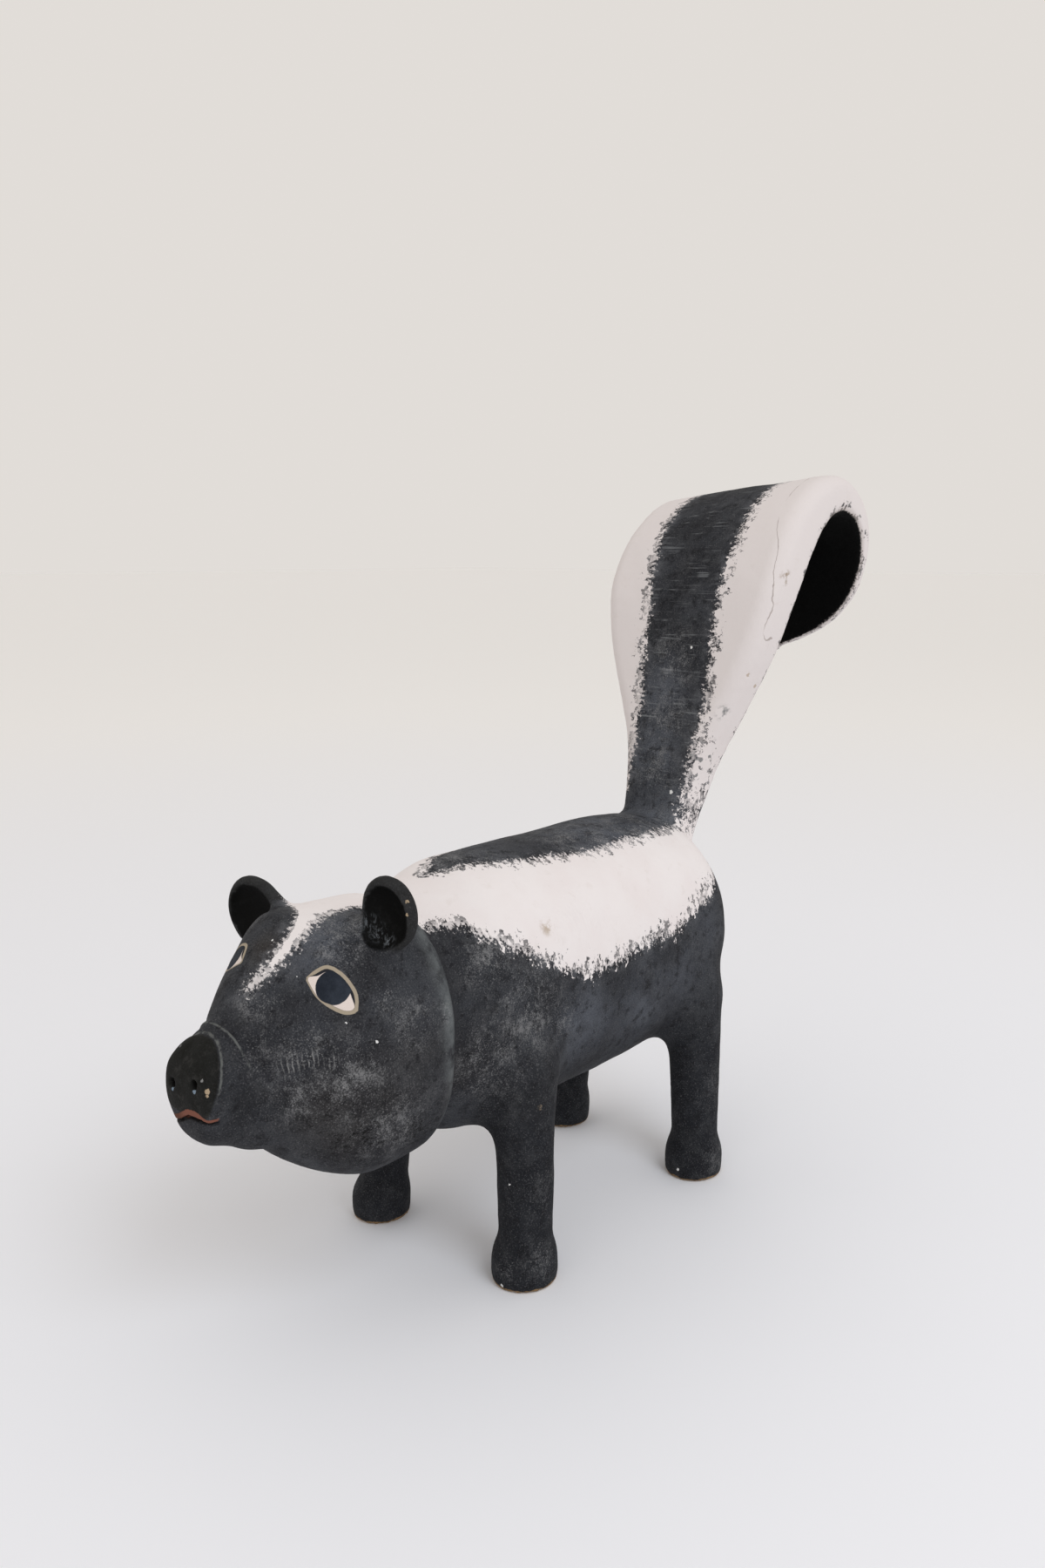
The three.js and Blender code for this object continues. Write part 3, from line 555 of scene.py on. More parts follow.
def paint_values(p):
    """Numbers that the paint reads at each point, mostly distances in millimetres."""
    around = np.degrees(np.arctan2(p[:, 0], p[:, 2] - AXIS_Z))
    on_body, crisp = white_reach(p, around)
    dist, half, thick, run, side = on_tail(p)
    stripe = np.maximum(p[:, 0] - curve(TAIL_STRIPE, 2, run), -p[:, 0] - curve(TAIL_STRIPE, 1, run))
    corner = np.minimum(TAIL_CORNER, thick * CORNER_SHARE)
    lining = corner * 0.35 - np.sign(side) * dist - thick
    tip = (run > TAIL_RUN[-1] - 1) & (dist > thick)
    lining = np.where(tip, -2.0, lining)
    up = ease(p[:, 2], 244, 268) * ease(p[:, 1], 96, 112)
    white = on_body * (1 - up) + np.minimum(stripe, -lining) * up
    body, head = body_and_head(p)
    ears, bowls = np.full(len(p), FAR), np.full(len(p), FAR)
    for at, reach, along, front in EARS:
        a = ear_axes(along, front)
        ears = np.minimum(ears, ball(p, at, reach, a))
        bowls = np.minimum(bowls, ball(p, ear_hollow(at, reach, a), np.array(reach) * EAR_HOLLOW, a))
    eye, iris, lid, along = painted_eyes(p)
    legs = np.min([np.linalg.norm(p[:, :2] - np.array(foot), axis=1) for foot, _, _ in LEGS], axis=0)
    low_side = ease(np.abs(around), 30, 50) * (1 - up)
    snout = p[:, 2] > 160
    return {
        "white": np.clip(np.minimum(white, ears - 2), -40, 40),
        "fray": 0.6 + 0.5 * ease(p[:, 1], -200, -120) + 0.7 * low_side + 0.15 * up - 0.42 * crisp,
        "flank": ease(np.abs(around), 32, 48) * (1 - up),
        "lining": np.clip(lining, -30, 30) * up - 30 * (1 - up),
        "ears": np.clip(ears, -10, 30),
        "bowls": np.clip(bowls, -10, 30),
        "eye": eye,
        "iris": iris,
        "lid": lid,
        "along": along,
        "lip": np.clip((p[:, 2] - curve(MOUTH, 1, p[:, 0])) / curve(LIP, 1, p[:, 0]), -3, 3),
        "rim": np.clip(body - head, -30, 30),
        "groove": np.where(snout, np.clip(nose_groove(p), -20, 20), 20),
        "ridge": np.where(snout, np.clip(muzzle_ridge(p), -20, 20), 20),
        "crack": np.where(up * (side > 0) > 0.5, p[:, 0] - curve(TAIL_CRACK, 1, p[:, 2]), 30),
        "legs": ease(150 - p[:, 2], 0, 60) * ease(42 - legs, 0, 16),
    }


for name, value in paint_values(mm).items():
    layer = skin.data.attributes.new(name, "FLOAT", "POINT")
    layer.data.foreach_set("value", value.astype(np.float32))


# Paint
def rgb(r, g, b):
    return (r, g, b, 1.0)


# colours of the black paint and of what lies on it
BLACK, SOFT_BLACK = rgb(0.022, 0.023, 0.027), rgb(0.040, 0.043, 0.050)
# the haze grey is partly haze in the paint and partly painted top light
HAZE_AND_TOP_LIGHT_GREY, WARM_BLACK = rgb(0.106, 0.117, 0.140), rgb(0.040, 0.034, 0.029)
# the leg black is partly painted shade, the shade black is wholly painted shade
LEG_BLACK_AND_SHADE, PAINTED_SHADE_BLACK = rgb(0.008, 0.009, 0.012), rgb(0.009, 0.009, 0.010)
PATCH_GREY, DAB_GREY = rgb(0.13, 0.133, 0.138), rgb(0.30, 0.30, 0.305)
MOTTLE_BLACK, PIT_BLACK = rgb(0.011, 0.011, 0.013), rgb(0.007, 0.007, 0.008)
VEIN_BLACK = rgb(0.004, 0.004, 0.004)
GRIT_GREY, COMB_GREY, SPECK_GREY = rgb(0.21, 0.21, 0.215), rgb(0.23, 0.23, 0.23), rgb(0.34, 0.34, 0.33)
FRINGE_GREY, SCRATCH_GREY = rgb(0.17, 0.175, 0.19), rgb(0.24, 0.25, 0.26)
# colours of the white paint, and of the worn edge, and the bare wood with painted shade round the bottom of
# the feet
WHITE, PALE_WHITE = rgb(0.80, 0.745, 0.738), rgb(0.825, 0.785, 0.78)
TAIL_WHITE, STAINED_WHITE = rgb(0.735, 0.685, 0.675), rgb(0.66, 0.60, 0.56)
EDGE_BROWN, CRACK_BROWN, BARE_WOOD_AND_SHADE = rgb(0.20, 0.13, 0.08), rgb(0.25, 0.20, 0.17), rgb(0.26, 0.17, 0.09)
# colours of the ears, the collar and the face
# the bowl black is painted shade in the hollows of the ears
EAR_BLACK, BOWL_SHADE_BLACK, EAR_GREY = rgb(0.022, 0.022, 0.020), rgb(0.002, 0.002, 0.0018), rgb(0.20, 0.22, 0.24)
# the rim grey is a painted highlight on the collar, and the crease black is painted shade beside it
RIM_HIGHLIGHT_GREY, CREASE_SHADE_BLACK = rgb(0.185, 0.203, 0.208), rgb(0.022, 0.023, 0.025)
NOSE_BLACK, NOSE_GREY, LINE_GREY = rgb(0.008, 0.008, 0.006), rgb(0.06, 0.058, 0.055), rgb(0.20, 0.21, 0.20)
# the lip's red, lit and in painted shade
SHADED_LIP, LIT_LIP = rgb(0.105, 0.040, 0.022), rgb(0.215, 0.085, 0.058)
EYE_LINE, LID_BLACK, EYE_WHITE = rgb(0.37, 0.315, 0.24), rgb(0.020, 0.021, 0.026), rgb(0.74, 0.65, 0.60)
DARK_IRIS, BLUE_IRIS = rgb(0.014, 0.018, 0.026), rgb(0.030, 0.037, 0.050)
# colours of the small marks
# the jet black is black paint deepened with painted shade, in the nostrils and inside the curl
HOLLOW_SHADE_BLACK, SPECKLE, WHITE_DOT = rgb(0.002, 0.002, 0.002), rgb(0.30, 0.22, 0.15), rgb(0.75, 0.75, 0.74)
# the bluish colour is a painted highlight on the lower rims of the nostrils
TAN, BROWN, GREY, NOSTRIL_HIGHLIGHT = (rgb(0.40, 0.31, 0.21), rgb(0.52, 0.44, 0.37), rgb(0.24, 0.24, 0.24),
                            rgb(0.20, 0.26, 0.33))

# Soft round patches, each with its place, radius and strength
# grey haze over the black on the lower flanks and the tail, and painted top light on the forehead and along
# the back
HAZE_AND_TOP_LIGHT = [(27, -222, 243, 24, 0.9), (26, -190, 256, 20, 0.6), (-5, 133, 300, 34, 1.0), (-8, 143, 348, 32, 0.8),
        (69, -38, 152, 34, 1.0), (66, 22, 150, 40, 0.75), (64, 62, 158, 34, 0.6), (60, 95, 190, 30, 0.5),
        (20, 40, 262, 66, 0.9), (10, 110, 258, 44, 0.9), (-10, -60, 258, 40, 0.4), (24, -205, 250, 20, 0.7),
        (-69, -30, 152, 40, 1.0), (-66, 45, 150, 44, 0.7)]
# grey brush marks over the black
SCUMBLE = [(60, -197, 212, 10, 1.0), (38, -242, 190, 9, 1.0), (30, -196, 254, 13, 0.9),
           (66, -157, 196, 10, 0.8), (78, -94, 18, 15, 0.45), (79, -86, 62, 20, 0.25),
           (66, -112, 14, 10, 0.4), (81, 96, 14, 15, 0.4), (80, 104, 70, 22, 0.25), (-79, -98, 16, 15, 0.4),
           (-80, 98, 16, 15, 0.4), (30, -205, 252, 26, 0.7), (0, 126, 292, 22, 0.9),
           (52, -220, 172, 30, 0.8), (39, -240, 164, 22, 0.7), (58, -196, 138, 30, 0.65),
           (40, -239, 190, 16, 0.9), (22, -250, 190, 20, 0.5), (37, -211, 242, 18, 0.9),
           (14, -250, 216, 14, 1.0), (63, -182, 196, 20, 0.6), (61, -121, 153, 32, 0.7),
           (67, -90, 178, 34, 0.8), (64, -118, 215, 22, 1.0), (67, -60, 166, 16, 0.8),
           (19, 17, 261, 46, 0.8), (26, 80, 258, 40, 1.0), (10, -90, 258, 34, 0.9), (44, -184, 246, 7, 1.0),
           (30, -168, 252, 16, 0.8), (-46, -222, 168, 32, 0.9), (-58, -190, 140, 30, 0.8),
           (-62, -120, 190, 36, 0.8), (-66, -60, 175, 34, 0.7), (-30, -214, 240, 16, 0.8),
           (0, 146, 372, 26, 0.8), (0, 139, 330, 24, 0.9)]
# dusty streaks in the ears
EAR_DUST = [(37, -190, 250, 6, 0.8), (42, -188, 245, 6, 1.0), (48, -186, 241, 5, 1.0),
            (-38, -201, 232, 8, 0.6)]
# fine crackle under the cheeks
CRACKLE = [(52, -214, 134, 26, 1.0), (44, -236, 148, 20, 0.8), (58, -176, 126, 22, 0.8),
           (-50, -214, 136, 30, 0.8)]
# short strokes of a comb or a dry brush, and the way they follow one another
COMBED = [(35.5, -245.4, 182.5, 8, 0.85), (41.5, -237, 186, 7, 0.9), (47.5, -228.2, 183.5, 6, 0.6)]
COMB_AXIS, COMB_PACE = (0.568, 0.823, 0.12), 2.3
# raised arcs that the brush left in the white of the left flank
ARC_CENTRE, ARC_STEP, ARCS = (58, -62, 214), 6.5, [(62, -40, 224, 22, 0.9), (63, -22, 218, 16, 0.6)]
# where the white was dragged dry over the black
FROST = [(50, -117, 224, 17, 1.0), (58, -101, 214, 13, 1.0), (38, -128, 235, 12, 0.8),
         (66, 98, 208, 15, 0.9), (38, 46, 256, 15, 0.8), (38, 21, 256, 12, 0.6), (-8, -108, 257, 11, 0.9),
         (15, -206, 252, 12, 0.8), (19, -222, 247, 9, 0.8), (10, -249, 225, 9, 0.9),
         (-27, 139, 342, 22, 0.9), (-34, 154, 408, 20, 0.9), (-40, 172, 450, 18, 0.6),
         (-24, 130, 310, 18, 0.9), (-60, -105, 214, 20, 0.8), (-66, 90, 208, 16, 0.8)]
# painted shade where the black is deeper, at the tops of the legs and round the muzzle; and where the black
# is warmer
PAINTED_SHADE = [(63, -88, 126, 26, 1.0), (63, 98, 128, 24, 0.6), (22, -268, 166, 15, 0.7), (36, -256, 160, 12, 0.5)]
WARM = [(52, -190, 158, 46, 0.5), (-52, -190, 158, 46, 0.5), (2, -236, 238, 15, 1.0),
        (46, -226, 146, 36, 0.7), (60, -150, 150, 26, 0.5)]

# flakes that shift the border between white and black: size, height and how far
FLAKES = ((3.3, 0.5, 7.0), (1.9, 0.7, 4.5))
# dusty lines on the snout: which, offset and lowest point
DUSTY_LINES = (("groove", 0.8, 168.0), ("ridge", 0.0, 181.0))
# small marks: place, radius and colour; the wide ones are soft stains
STAIN_RADIUS, CHIP_RADIUS = 4, 2
# the first two marks are painted shade in the holes of the nostrils
MARKS = [((-7.7, -290.2, 175.2), 2.4, HOLLOW_SHADE_BLACK), ((11.5, -290.1, 179.4), 2.5, HOLLOW_SHADE_BLACK),
         ((58.4, -205.1, 190.7), 1.0, WHITE_DOT), ((50.9, -219.6, 203.9), 0.6, WHITE_DOT),
         ((14.1, 147.6, 382.3), 1.2, WHITE_DOT), ((18.7, 119.7, 277), 1.5, WHITE_DOT),
         ((3.2, -231.6, 242.6), 0.8, WHITE_DOT), ((28.7, -234.6, 228.5), 0.5, WHITE_DOT),
         ((63.9, -112.6, 3), 1.1, WHITE_DOT), ((65, 73.9, 7.9), 1.1, WHITE_DOT),
         ((63.8, -105.2, 68.3), 0.6, WHITE_DOT), ((76.5, -92.2, 118.5), 2.2, TAN),
         ((63.8, -185.9, 266.4), 1.2, TAN), ((64.6, -186.8, 259), 1.1, TAN),
         ((20.7, -287.7, 178.1), 1.5, TAN), ((20.2, -287.5, 175.5), 1.0, TAN),
         ((17.3, -288.4, 183), 0.9, GREY), ((-10.6, -283.1, 193.1), 0.8, GREY),
         # painted highlights on the lower rims of the nostrils
         ((-7.9, -290.6, 171.9), 1.25, NOSTRIL_HIGHLIGHT), ((12.0, -290.2, 176.3), 1.35, NOSTRIL_HIGHLIGHT),
         ((59.8, -66.4, 224), 6.0, BROWN), ((47.5, 143.5, 336), 6.5, GREY), ((78.4, 172, 434), 5.6, SPECKLE),
         ((60.6, 154.2, 364.1), 1.6, BROWN), ((58.5, 167.5, 354.6), 1.6, BROWN),
         ((28.9, 130.8, 305.6), 2.2, GREY), ((33.9, 135, 301.1), 2.0, GREY),
         ((36.6, 142.3, 303.1), 1.5, GREY), ((31.8, 132.9, 289.3), 1.4, GREY)]


class Graph:
    """Short ways to add and join shader nodes, and the numbers that several layers of paint share."""

    def __init__(self, name):
        self.material = bpy.data.materials.new(name)
        self.material.use_nodes = True
        self.tree = self.material.node_tree
        self.shader = self.tree.nodes["Principled BSDF"]
        place = self.add("TexCoord", {}).outputs["Object"]
        self.at = self.vector("MULTIPLY", self.vector("SUBTRACT", place, tuple(seat)), tuple(1000 / fit))
        self.x, self.y, self.z = self.add("SeparateXYZ", {}, Vector=self.at).outputs
        self.upper = self.step(self.z, 262.0, 300.0)
        self.fine = self.noise(1.3, 3.0, 0.6)
        self.mottle = self.noise(7.0, 6.0, 0.68)
        self.cloud = self.noise(38.0, 3.0, 0.5)
        self.broad = self.noise(10.0, 2.0, 0.5)
        self.patch = self.noise(15.0, 9.0, 0.74)

    def feed(self, socket, value):
        if isinstance(value, bpy.types.NodeSocket):
            self.tree.links.new(value, socket)
        else:
            socket.default_value = value

    def add(self, kind, settings, **inputs):
        node = self.tree.nodes.new("ShaderNode" + kind)
        for key, value in settings.items():
            setattr(node, key, value)
        for key, value in inputs.items():
            self.feed(node.inputs[key.replace("_", " ")], value)
        return node

    def math(self, operation, a, b=0.0):
        node = self.add("Math", {"operation": operation})
        self.feed(node.inputs[0], a)
        self.feed(node.inputs[1], b)
        return node.outputs[0]

    def plus(self, a, b):
        return self.math("ADD", a, b)

    def times(self, a, b):
        return self.math("MULTIPLY", a, b)

    def most(self, a, b):
        return self.math("MAXIMUM", a, b)

    def rest(self, share):
        return self.math("SUBTRACT", 1.0, share)

    def swing(self, noise, amount):
        """A noise as a swing to both sides of nothing."""
        return self.times(self.plus(noise, -0.5), amount)

    def vector(self, operation, a, b):
        node = self.add("VectorMath", {"operation": operation})
        self.feed(node.inputs[0], a)
        self.feed(node.inputs[1], b)
        return node.outputs["Value" if operation in ("DISTANCE", "DOT_PRODUCT") else "Vector"]

    def step(self, value, low, high):
        """0 at low, 1 at high, eased between them."""
        eased = {"interpolation_type": "SMOOTHSTEP"}
        return self.add("MapRange", eased, Value=value, From_Min=low, From_Max=high).outputs["Result"]

    def read(self, name):
        return self.add("Attribute", {"attribute_type": "GEOMETRY", "attribute_name": name}).outputs["Fac"]

    def noise(self, size, detail, rough, stretch=None, warp=0.0):
        """Noise with lumps of a size in millimetres, longer where a number in stretch is small."""
        at = self.vector("MULTIPLY", self.at, stretch) if stretch else self.at
        node = self.add("TexNoise", {}, Vector=at, Scale=1 / size, Detail=detail, Roughness=rough,
                        Distortion=warp)
        return node.outputs["Fac"]

    def bent(self, scale, amount):
        """Places pushed about by a noise."""
        push = self.add("TexNoise", {}, Vector=self.at, Scale=scale, Detail=2.0).outputs["Color"]
        push = self.vector("SUBTRACT", push, (0.5, 0.5, 0.5))
        return self.vector("ADD", self.at, self.vector("MULTIPLY", push, (amount, amount, amount)))

    def cells(self, at, size):
        """Distance from the middle of the nearest random cell, and that cell's own chance from 0 to 1."""
        node = self.add("TexVoronoi", {"feature": "F1"}, Vector=at, Scale=1 / size, Randomness=1.0)
        chance = self.add("SeparateColor", {}, Color=node.outputs["Color"]).outputs[0]
        return node.outputs["Distance"], chance

    def patches(self, rows):
        """The strongest of several soft round patches."""
        out = None
        for *place, radius, strength in rows:
            far = self.vector("DISTANCE", self.at, tuple(place))
            part = self.times(self.step(far, radius * 1.25, 0.0), strength)
            out = part if out is None else self.most(out, part)
        return out

    def blend(self, share, a, b):
        node = self.add("Mix", {"data_type": "RGBA"})
        self.feed(node.inputs[0], share)
        self.feed(node.inputs[6], a)
        self.feed(node.inputs[7], b)
        return node.outputs[2]

    def over(self, base, colour, *shares):
        """Lay a colour over another, as thickly as the product of the shares."""
        share = shares[0]
        for part in shares[1:]:
            share = self.times(share, part)
        return self.blend(share, base, colour)


def black_paint(g):
    """Black, hazed and with painted top light on the forehead and back, warmed, blacker down the legs partly
    as painted shade, darkened with painted shade at the tops of the legs and round the muzzle, then rubbed
    and scumbled with grey.
    """
    black = g.blend(g.step(g.cloud, 0.35, 0.7), BLACK, SOFT_BLACK)
    # bluish haze over the black, which is painted top light where it lies on the forehead and along the back
    black = g.over(black, HAZE_AND_TOP_LIGHT_GREY, g.patches(HAZE_AND_TOP_LIGHT), g.step(g.noise(22.0, 4.0, 0.6), 0.15, 0.65), 0.8)
    black = g.over(black, WARM_BLACK, g.patches(WARM), 0.6)
    # blacker down the legs towards the floor: partly the legs' own paint, partly painted shade
    black = g.over(black, LEG_BLACK_AND_SHADE, g.read("legs"), 0.66)
    # painted shade at the tops of the legs and round the muzzle
    black = g.over(black, PAINTED_SHADE_BLACK, g.patches(PAINTED_SHADE), 0.8)
    scumble = g.patches(SCUMBLE)
    black = g.over(black, PATCH_GREY, g.step(g.patch, 0.42, 0.68), g.plus(g.times(scumble, 0.45), 0.15))
    brushed = g.noise(2.4, 6.0, 0.78, stretch=(1.0, 1.0, 0.5))
    grit = g.noise(0.9, 4.0, 0.75)
    dabs = g.plus(g.plus(brushed, g.swing(g.patch, 0.9)), g.swing(grit, 1.0))
    black = g.over(black, DAB_GREY, scumble, g.step(dabs, 0.50, 0.70), 0.6)
    black = g.over(black, MOTTLE_BLACK, g.step(g.mottle, 0.50, 0.66), 0.7)
    black = g.over(black, GRIT_GREY, g.step(grit, 0.54, 0.68), g.plus(g.times(scumble, 0.5), 0.34))
    black = g.over(black, PIT_BLACK, g.step(grit, 0.47, 0.33), 0.7)
    along = g.times(g.vector("DOT_PRODUCT", g.at, COMB_AXIS), COMB_PACE)
    strokes = g.math("SINE", g.plus(along, g.times(g.noise(5.0, 1.0, 0.5), 4.5)))
    combed = g.times(g.step(strokes, 0.35, 0.9), g.step(g.noise(3.6, 2.0, 0.5), 0.34, 0.50))
    black = g.over(black, COMB_GREY, combed, g.patches(COMBED), g.step(grit, 0.34, 0.48))
    vein = g.math("ABSOLUTE", g.plus(g.noise(8.0, 4.0, 0.6, stretch=(0.7, 0.7, 1.5)), -0.5))
    gaps = g.step(g.noise(5.0, 2.0, 0.5), 0.42, 0.52)
    black = g.over(black, VEIN_BLACK, g.step(vein, 0.03, 0.012), gaps, g.patches(CRACKLE))
    far, chance = g.cells(g.at, 3.2)
    dots = g.times(g.step(far, 0.16, 0.07), g.step(chance, 0.84, 0.88))
    return g.over(black, SPECK_GREY, dots, g.plus(g.times(scumble, 0.5), 0.2), 0.9)


def white_paint(g):
    """White, greyer up the tail, with faint stains."""
    white = g.blend(g.step(g.cloud, 0.3, 0.7), WHITE, PALE_WHITE)
    white = g.over(white, TAIL_WHITE, g.upper, 0.9)
    return g.over(white, STAINED_WHITE, g.step(g.noise(11.0, 5.0, 0.65), 0.56, 0.72), 0.22)


def border_shift(g):
    """How far the brush pushed the border between white and black, in millimetres."""
    teeth = g.noise(2.6, 5.0, 0.6, stretch=(0.35, 1.0, 1.0))
    tufts = g.noise(3.4, 5.0, 0.62, stretch=(0.8, 1.0, 0.55), warp=0.4)
    side = g.read("flank")
    rough_edge = g.plus(g.times(teeth, g.rest(side)), g.times(tufts, side))
    shift = g.plus(g.plus(g.swing(rough_edge, 13.0), g.swing(g.broad, 9.0)), g.swing(g.fine, 5.0))
    bent = g.bent(0.28, 7.0)
    for size, tall, swing in FLAKES:
        _, chance = g.cells(g.vector("MULTIPLY", bent, (0.75, 1.0, tall)), size)
        shift = g.plus(shift, g.swing(chance, swing))
    return g.times(shift, g.read("fray"))


def coats(g):
    """Black and white with their ragged border: the colour, the open black and the white's cover."""
    reach = g.read("white")
    solid = g.step(g.plus(reach, border_shift(g)), -0.3, 0.4)
    dab = g.noise(2.0, 5.0, 0.7, stretch=(0.6, 1.0, 0.8))
    dry = g.plus(g.plus(dab, g.times(g.step(reach, -15.0, 4.0), 0.34)), g.times(g.patches(FROST), 0.11))
    dry = g.times(g.step(dry, 0.73, 0.82), g.plus(g.times(g.step(reach, 3.0, -3.0), 0.52), 0.26))
    coat = g.most(solid, dry)
    greyed = g.step(g.plus(dab, g.swing(g.broad, 1.2)), 0.42, 0.66)
    black = g.over(black_paint(g), FRINGE_GREY, g.step(reach, -16.0, -1.0), greyed, 0.5)
    return g.blend(coat, black, white_paint(g)), g.rest(solid), coat


def curl_paint(g, base, open_black):
    """Long scratches in the tail's black, and the curl's rubbed brown edge and its black lining, deepened
    with painted shade inside the curl.
    """
    scratch = g.step(g.noise(1.4, 3.0, 0.5, stretch=(0.032, 0.5, 1.0)), 0.57, 0.68)
    scratch = g.times(scratch, g.times(g.step(g.noise(16.0, 2.0, 0.5), 0.44, 0.60), 0.42))
    base = g.over(base, SCRATCH_GREY, scratch, g.upper, open_black)
    lining = g.read("lining")
    base = g.over(base, EDGE_BROWN, g.step(lining, -4.0, 1.0), 0.30)
    # black lining inside the curl, deepened with painted shade
    return g.over(base, HOLLOW_SHADE_BLACK, g.step(g.plus(lining, g.swing(g.fine, 3.0)), -0.5, 0.7))


def ear_paint(g, base):
    """Black ears with bowls darkened by painted shade, and a few dusty streaks."""
    base = g.over(base, EAR_BLACK, g.step(g.read("ears"), 3.0, 0.0), 0.55)
    # painted shade in the bowls of the ears
    bowl = g.step(g.plus(g.read("bowls"), g.swing(g.mottle, 2.0)), 1.0, 0.0)
    base = g.over(base, BOWL_SHADE_BLACK, bowl, 0.95)
    streaks = g.step(g.noise(1.8, 4.0, 0.7, stretch=(1.0, 1.0, 0.35)), 0.48, 0.62)
    return g.over(base, EAR_GREY, g.patches(EAR_DUST), streaks, 0.65)


def collar_paint(g, base, open_black):
    """Painted highlight along the ridge round the back of the head, and painted shade in the dark crease
    beside it.
    """
    rim = g.read("rim")
    ring = g.times(g.step(rim, 1.5, 7.0), g.step(rim, 19.0, 9.0))
    patchy = g.step(g.plus(g.patch, g.swing(g.broad, 0.7)), 0.26, 0.62)
    # painted highlight along the ridge round the back of the head, broken up in patches
    base = g.over(base, RIM_HIGHLIGHT_GREY, ring, patchy, g.step(g.y, -147.0, -158.0), open_black, 0.75)
    # painted shade in the crease between head and neck
    crease = g.times(g.step(rim, -5.0, -0.5), g.step(rim, 1.5, 0.0))
    return g.over(base, CREASE_SHADE_BLACK, crease, open_black, 0.35)


def nose_paint(g, base):
    """Black nose, and the dusty lines of its groove and of the ridge behind it."""
    nose = g.step(g.read("groove"), 0.5, -1.5)
    base = g.over(base, NOSE_BLACK, nose, 0.8)
    base = g.over(base, NOSE_GREY, g.step(g.noise(6.0, 5.0, 0.7), 0.52, 0.72), nose, 0.35)
    for name, offset, lowest in DUSTY_LINES:
        line = g.math("ABSOLUTE", g.plus(g.plus(g.read(name), -offset), g.swing(g.broad, 1.6)))
        gaps = g.step(g.noise(4.0, 2.0, 0.5), 0.32, 0.58)
        base = g.over(base, LINE_GREY, g.step(line, 0.9, 0.2), gaps, g.step(g.z, lowest, lowest + 8.0), 0.5)
    return base


def lip_paint(g, base):
    """Red lip above the slit of the mouth, browner to the right as painted shade."""
    lip = g.plus(g.read("lip"), g.swing(g.fine, 0.25))
    # painted shade makes the lip's red darker to the right
    colour = g.blend(g.step(g.x, -6.0, 3.0), SHADED_LIP, LIT_LIP)
    front = g.step(g.y, -281.0, -282.5)
    return g.over(base, colour, g.step(lip, -0.12, 0.02), g.step(lip, 1.08, 0.92), front, 0.94)


def eye_paint(g, base):
    """Pale outline, dark lids, white of the eye and iris, one over the other."""
    wobble = g.swing(g.fine, 0.4)
    eye, iris = g.plus(g.read("eye"), wobble), g.plus(g.read("iris"), wobble)
    upper_lid, rear_half = g.step(g.read("lid"), 1.5, 5.5), g.step(g.read("along"), 13.0, 20.0)
    within = g.plus(eye, g.plus(g.times(g.most(upper_lid, rear_half), 1.25), 0.65))
    base = g.over(base, EYE_LINE, g.step(eye, 0.25, -0.15))
    base = g.over(base, LID_BLACK, g.step(within, 0.15, -0.2))
    base = g.over(base, EYE_WHITE, g.step(g.plus(within, g.times(upper_lid, 1.5)), 0.05, -0.3))
    colour = g.blend(g.step(g.patch, 0.4, 0.65), DARK_IRIS, BLUE_IRIS)
    return g.over(base, colour, g.step(iris, 0.15, -0.25), g.step(within, 0.15, -0.2))


def small_marks(g, base):
    """Dots, chips and stains, painted shade in the nostrils and painted highlights under them, broken up
    where they are wide.
    """
    bent = g.bent(0.7, 2.4)
    for place, radius, colour in MARKS:
        far = g.vector("DISTANCE", bent, place)
        if radius > STAIN_RADIUS:
            shares = [g.step(far, radius * 1.3, radius * 0.3), g.step(g.mottle, 0.44, 0.60)]
        else:
            shares = [g.step(far, radius * 1.15, radius * 0.75)]
            if radius > CHIP_RADIUS and colour != HOLLOW_SHADE_BLACK:
                shares.append(g.step(g.mottle, 0.42, 0.60))
        base = g.over(base, colour, *shares)
    return base


def hairline(g):
    """The broken hairline crack up the tail."""
    hair = g.math("ABSOLUTE", g.plus(g.read("crack"), g.swing(g.noise(14.0, 3.0, 0.5), 6.0)))
    return g.times(g.step(hair, 0.36, 0.1), g.step(g.noise(20.0, 1.0, 0.5), 0.38, 0.5))


def matt_finish(g, coat, crack):
    """Matt, a little rougher on the white, with brush strokes too fine for the mesh."""
    g.feed(g.shader.inputs["Roughness"], g.plus(g.plus(g.times(g.mottle, 0.3), 0.55), g.times(coat, 0.12)))
    g.shader.inputs["Specular IOR Level"].default_value = 0.09
    arcs = g.math("SINE", g.times(g.vector("DISTANCE", g.at, ARC_CENTRE), 2 * np.pi / ARC_STEP))
    parts = ((g.noise(0.6, 2.0, 0.6), 0.18), (g.noise(1.1, 3.0, 0.55, stretch=(1.0, 0.16, 1.0)), 0.35),
             (g.mottle, 0.55), (arcs, g.patches(ARCS)), (crack, -0.6))
    height = g.times(coat, 0.35)
    for part, depth in parts:
        height = g.plus(height, g.times(part, depth))
    bump = g.add("Bump", {}, Strength=0.55, Distance=0.0005, Height=height)
    g.feed(g.shader.inputs["Normal"], bump.outputs["Normal"])


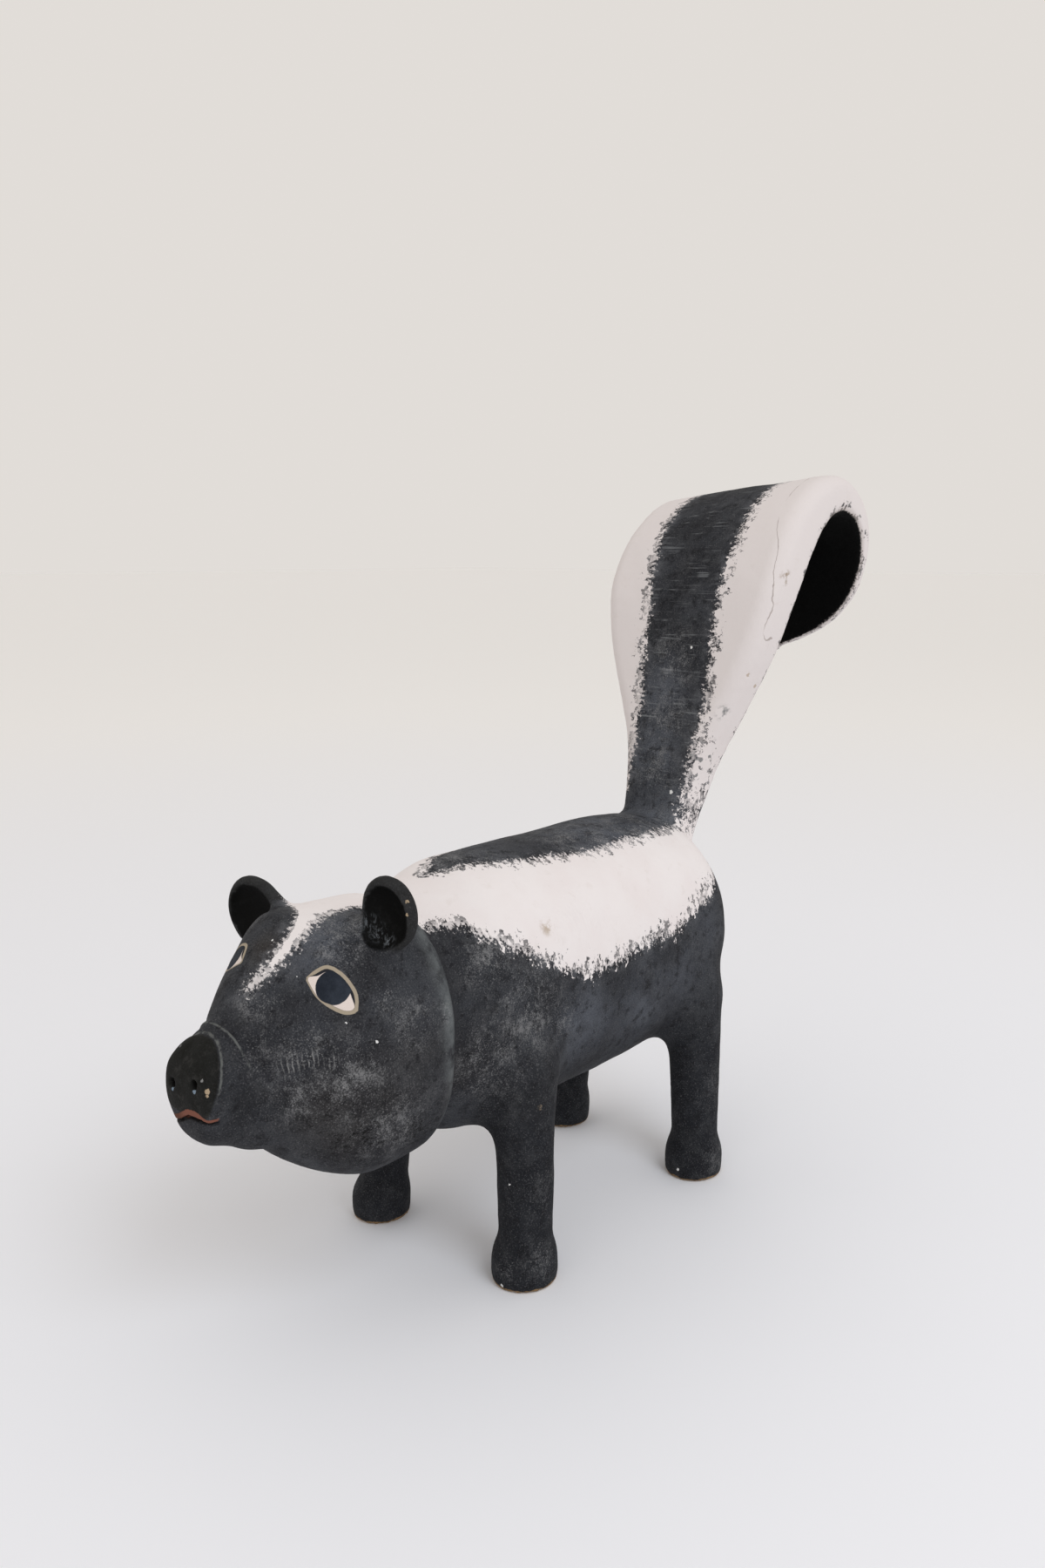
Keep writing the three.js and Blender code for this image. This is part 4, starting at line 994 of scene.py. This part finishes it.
def skunk_paint():
    """All the paint, from the coats up to the small marks."""
    g = Graph("painted_wood")
    base, open_black, coat = coats(g)
    base = curl_paint(g, base, open_black)
    base = ear_paint(g, base)
    base = collar_paint(g, base, open_black)
    base = nose_paint(g, base)
    base = lip_paint(g, base)
    base = eye_paint(g, base)
    base = small_marks(g, base)
    crack = hairline(g)
    base = g.over(base, CRACK_BROWN, crack, 0.6)
    # brown round the bottom of the feet: bare wood, and painted shade where they meet the floor
    base = g.over(base, BARE_WOOD_AND_SHADE, g.step(g.plus(g.z, g.swing(g.mottle, 5.0)), 2.4, 1.6))
    g.feed(g.shader.inputs["Base Color"], base)
    matt_finish(g, coat, crack)
    return g.material


skin.data.materials.clear()
skin.data.materials.append(skunk_paint())
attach(skin, "root")
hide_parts("skunk")

# Floor, light and camera, in metres
FLOOR_HALF, FLOOR_ROUGHNESS, FLOOR_SHINE = 30, 0.7, 0.2
FLOOR_NEAR, FLOOR_FAR, FLOOR_FADE = (0.92, 0.935, 0.98, 1), (0.998, 0.995, 0.99, 1), (0.5, 3.0)
BACKDROP, BACKDROP_STRENGTH = (0.90, 0.86, 0.82, 1), 0.84
WINDOW_AT, WINDOW_AIM, WINDOW_SIZE, WINDOW_WATTS = (1.9, -0.4, 2.1), (0, 0, 0.2), 1.5, 20
WINDOW_COLOUR = (0.88, 0.93, 1.0)
CAMERA_AT, CAMERA_DOWN, CAMERA_TURN, CAMERA_LENS = (0.5384, -0.6143, 0.450), 10.601, 42.3697, 28.084

floor_mesh = bpy.data.meshes.new("floor")
floor_corners = [(x * FLOOR_HALF, y * FLOOR_HALF, 0) for x, y in ((-1, -1), (1, -1), (1, 1), (-1, 1))]
floor_mesh.from_pydata(floor_corners, [], [(0, 1, 2, 3)])
floor = bpy.data.objects.new("floor", floor_mesh)
bpy.context.scene.collection.objects.link(floor)
floor_paint = bpy.data.materials.new("floor_paint")
floor_paint.use_nodes = True
nodes, links = floor_paint.node_tree.nodes, floor_paint.node_tree.links
spot = nodes.new("ShaderNodeTexCoord")
far = nodes.new("ShaderNodeVectorMath")
far.operation = "LENGTH"
links.new(spot.outputs["Object"], far.inputs[0])
fade = nodes.new("ShaderNodeMapRange")
fade.interpolation_type = "SMOOTHSTEP"
fade.inputs["From Min"].default_value, fade.inputs["From Max"].default_value = FLOOR_FADE
links.new(far.outputs["Value"], fade.inputs["Value"])
tone = nodes.new("ShaderNodeMix")
tone.data_type = "RGBA"
tone.inputs[6].default_value, tone.inputs[7].default_value = FLOOR_NEAR, FLOOR_FAR
links.new(fade.outputs["Result"], tone.inputs[0])
links.new(tone.outputs[2], nodes["Principled BSDF"].inputs["Base Color"])
nodes["Principled BSDF"].inputs["Roughness"].default_value = FLOOR_ROUGHNESS
nodes["Principled BSDF"].inputs["Specular IOR Level"].default_value = FLOOR_SHINE
floor.data.materials.append(floor_paint)

world = bpy.data.worlds.new("studio")
world.use_nodes = True
world.node_tree.nodes["Background"].inputs["Color"].default_value = BACKDROP
world.node_tree.nodes["Background"].inputs["Strength"].default_value = BACKDROP_STRENGTH
bpy.context.scene.world = world
bpy.context.scene.view_settings.view_transform = "Standard"

window_light = bpy.data.lights.new("window", "AREA")
window_light.shape = "DISK"
window_light.size = WINDOW_SIZE
window_light.energy = WINDOW_WATTS
window_light.color = WINDOW_COLOUR
window = bpy.data.objects.new("window", window_light)
window.location = WINDOW_AT
window.rotation_euler = (Vector(WINDOW_AIM) - Vector(WINDOW_AT)).to_track_quat("-Z", "Y").to_euler()
bpy.context.scene.collection.objects.link(window)

camera_data = bpy.data.cameras.new("camera")
camera_data.lens = CAMERA_LENS
camera_data.sensor_width = 36
camera_data.clip_start = 0.05
camera = bpy.data.objects.new("camera", camera_data)
camera.location = (CAMERA_AT[0], CAMERA_AT[1] + seat[1], CAMERA_AT[2])
camera.rotation_euler = (np.radians(90 - CAMERA_DOWN), 0, np.radians(CAMERA_TURN))
bpy.context.scene.collection.objects.link(camera)
bpy.context.scene.camera = camera

bpy.context.view_layer.update()
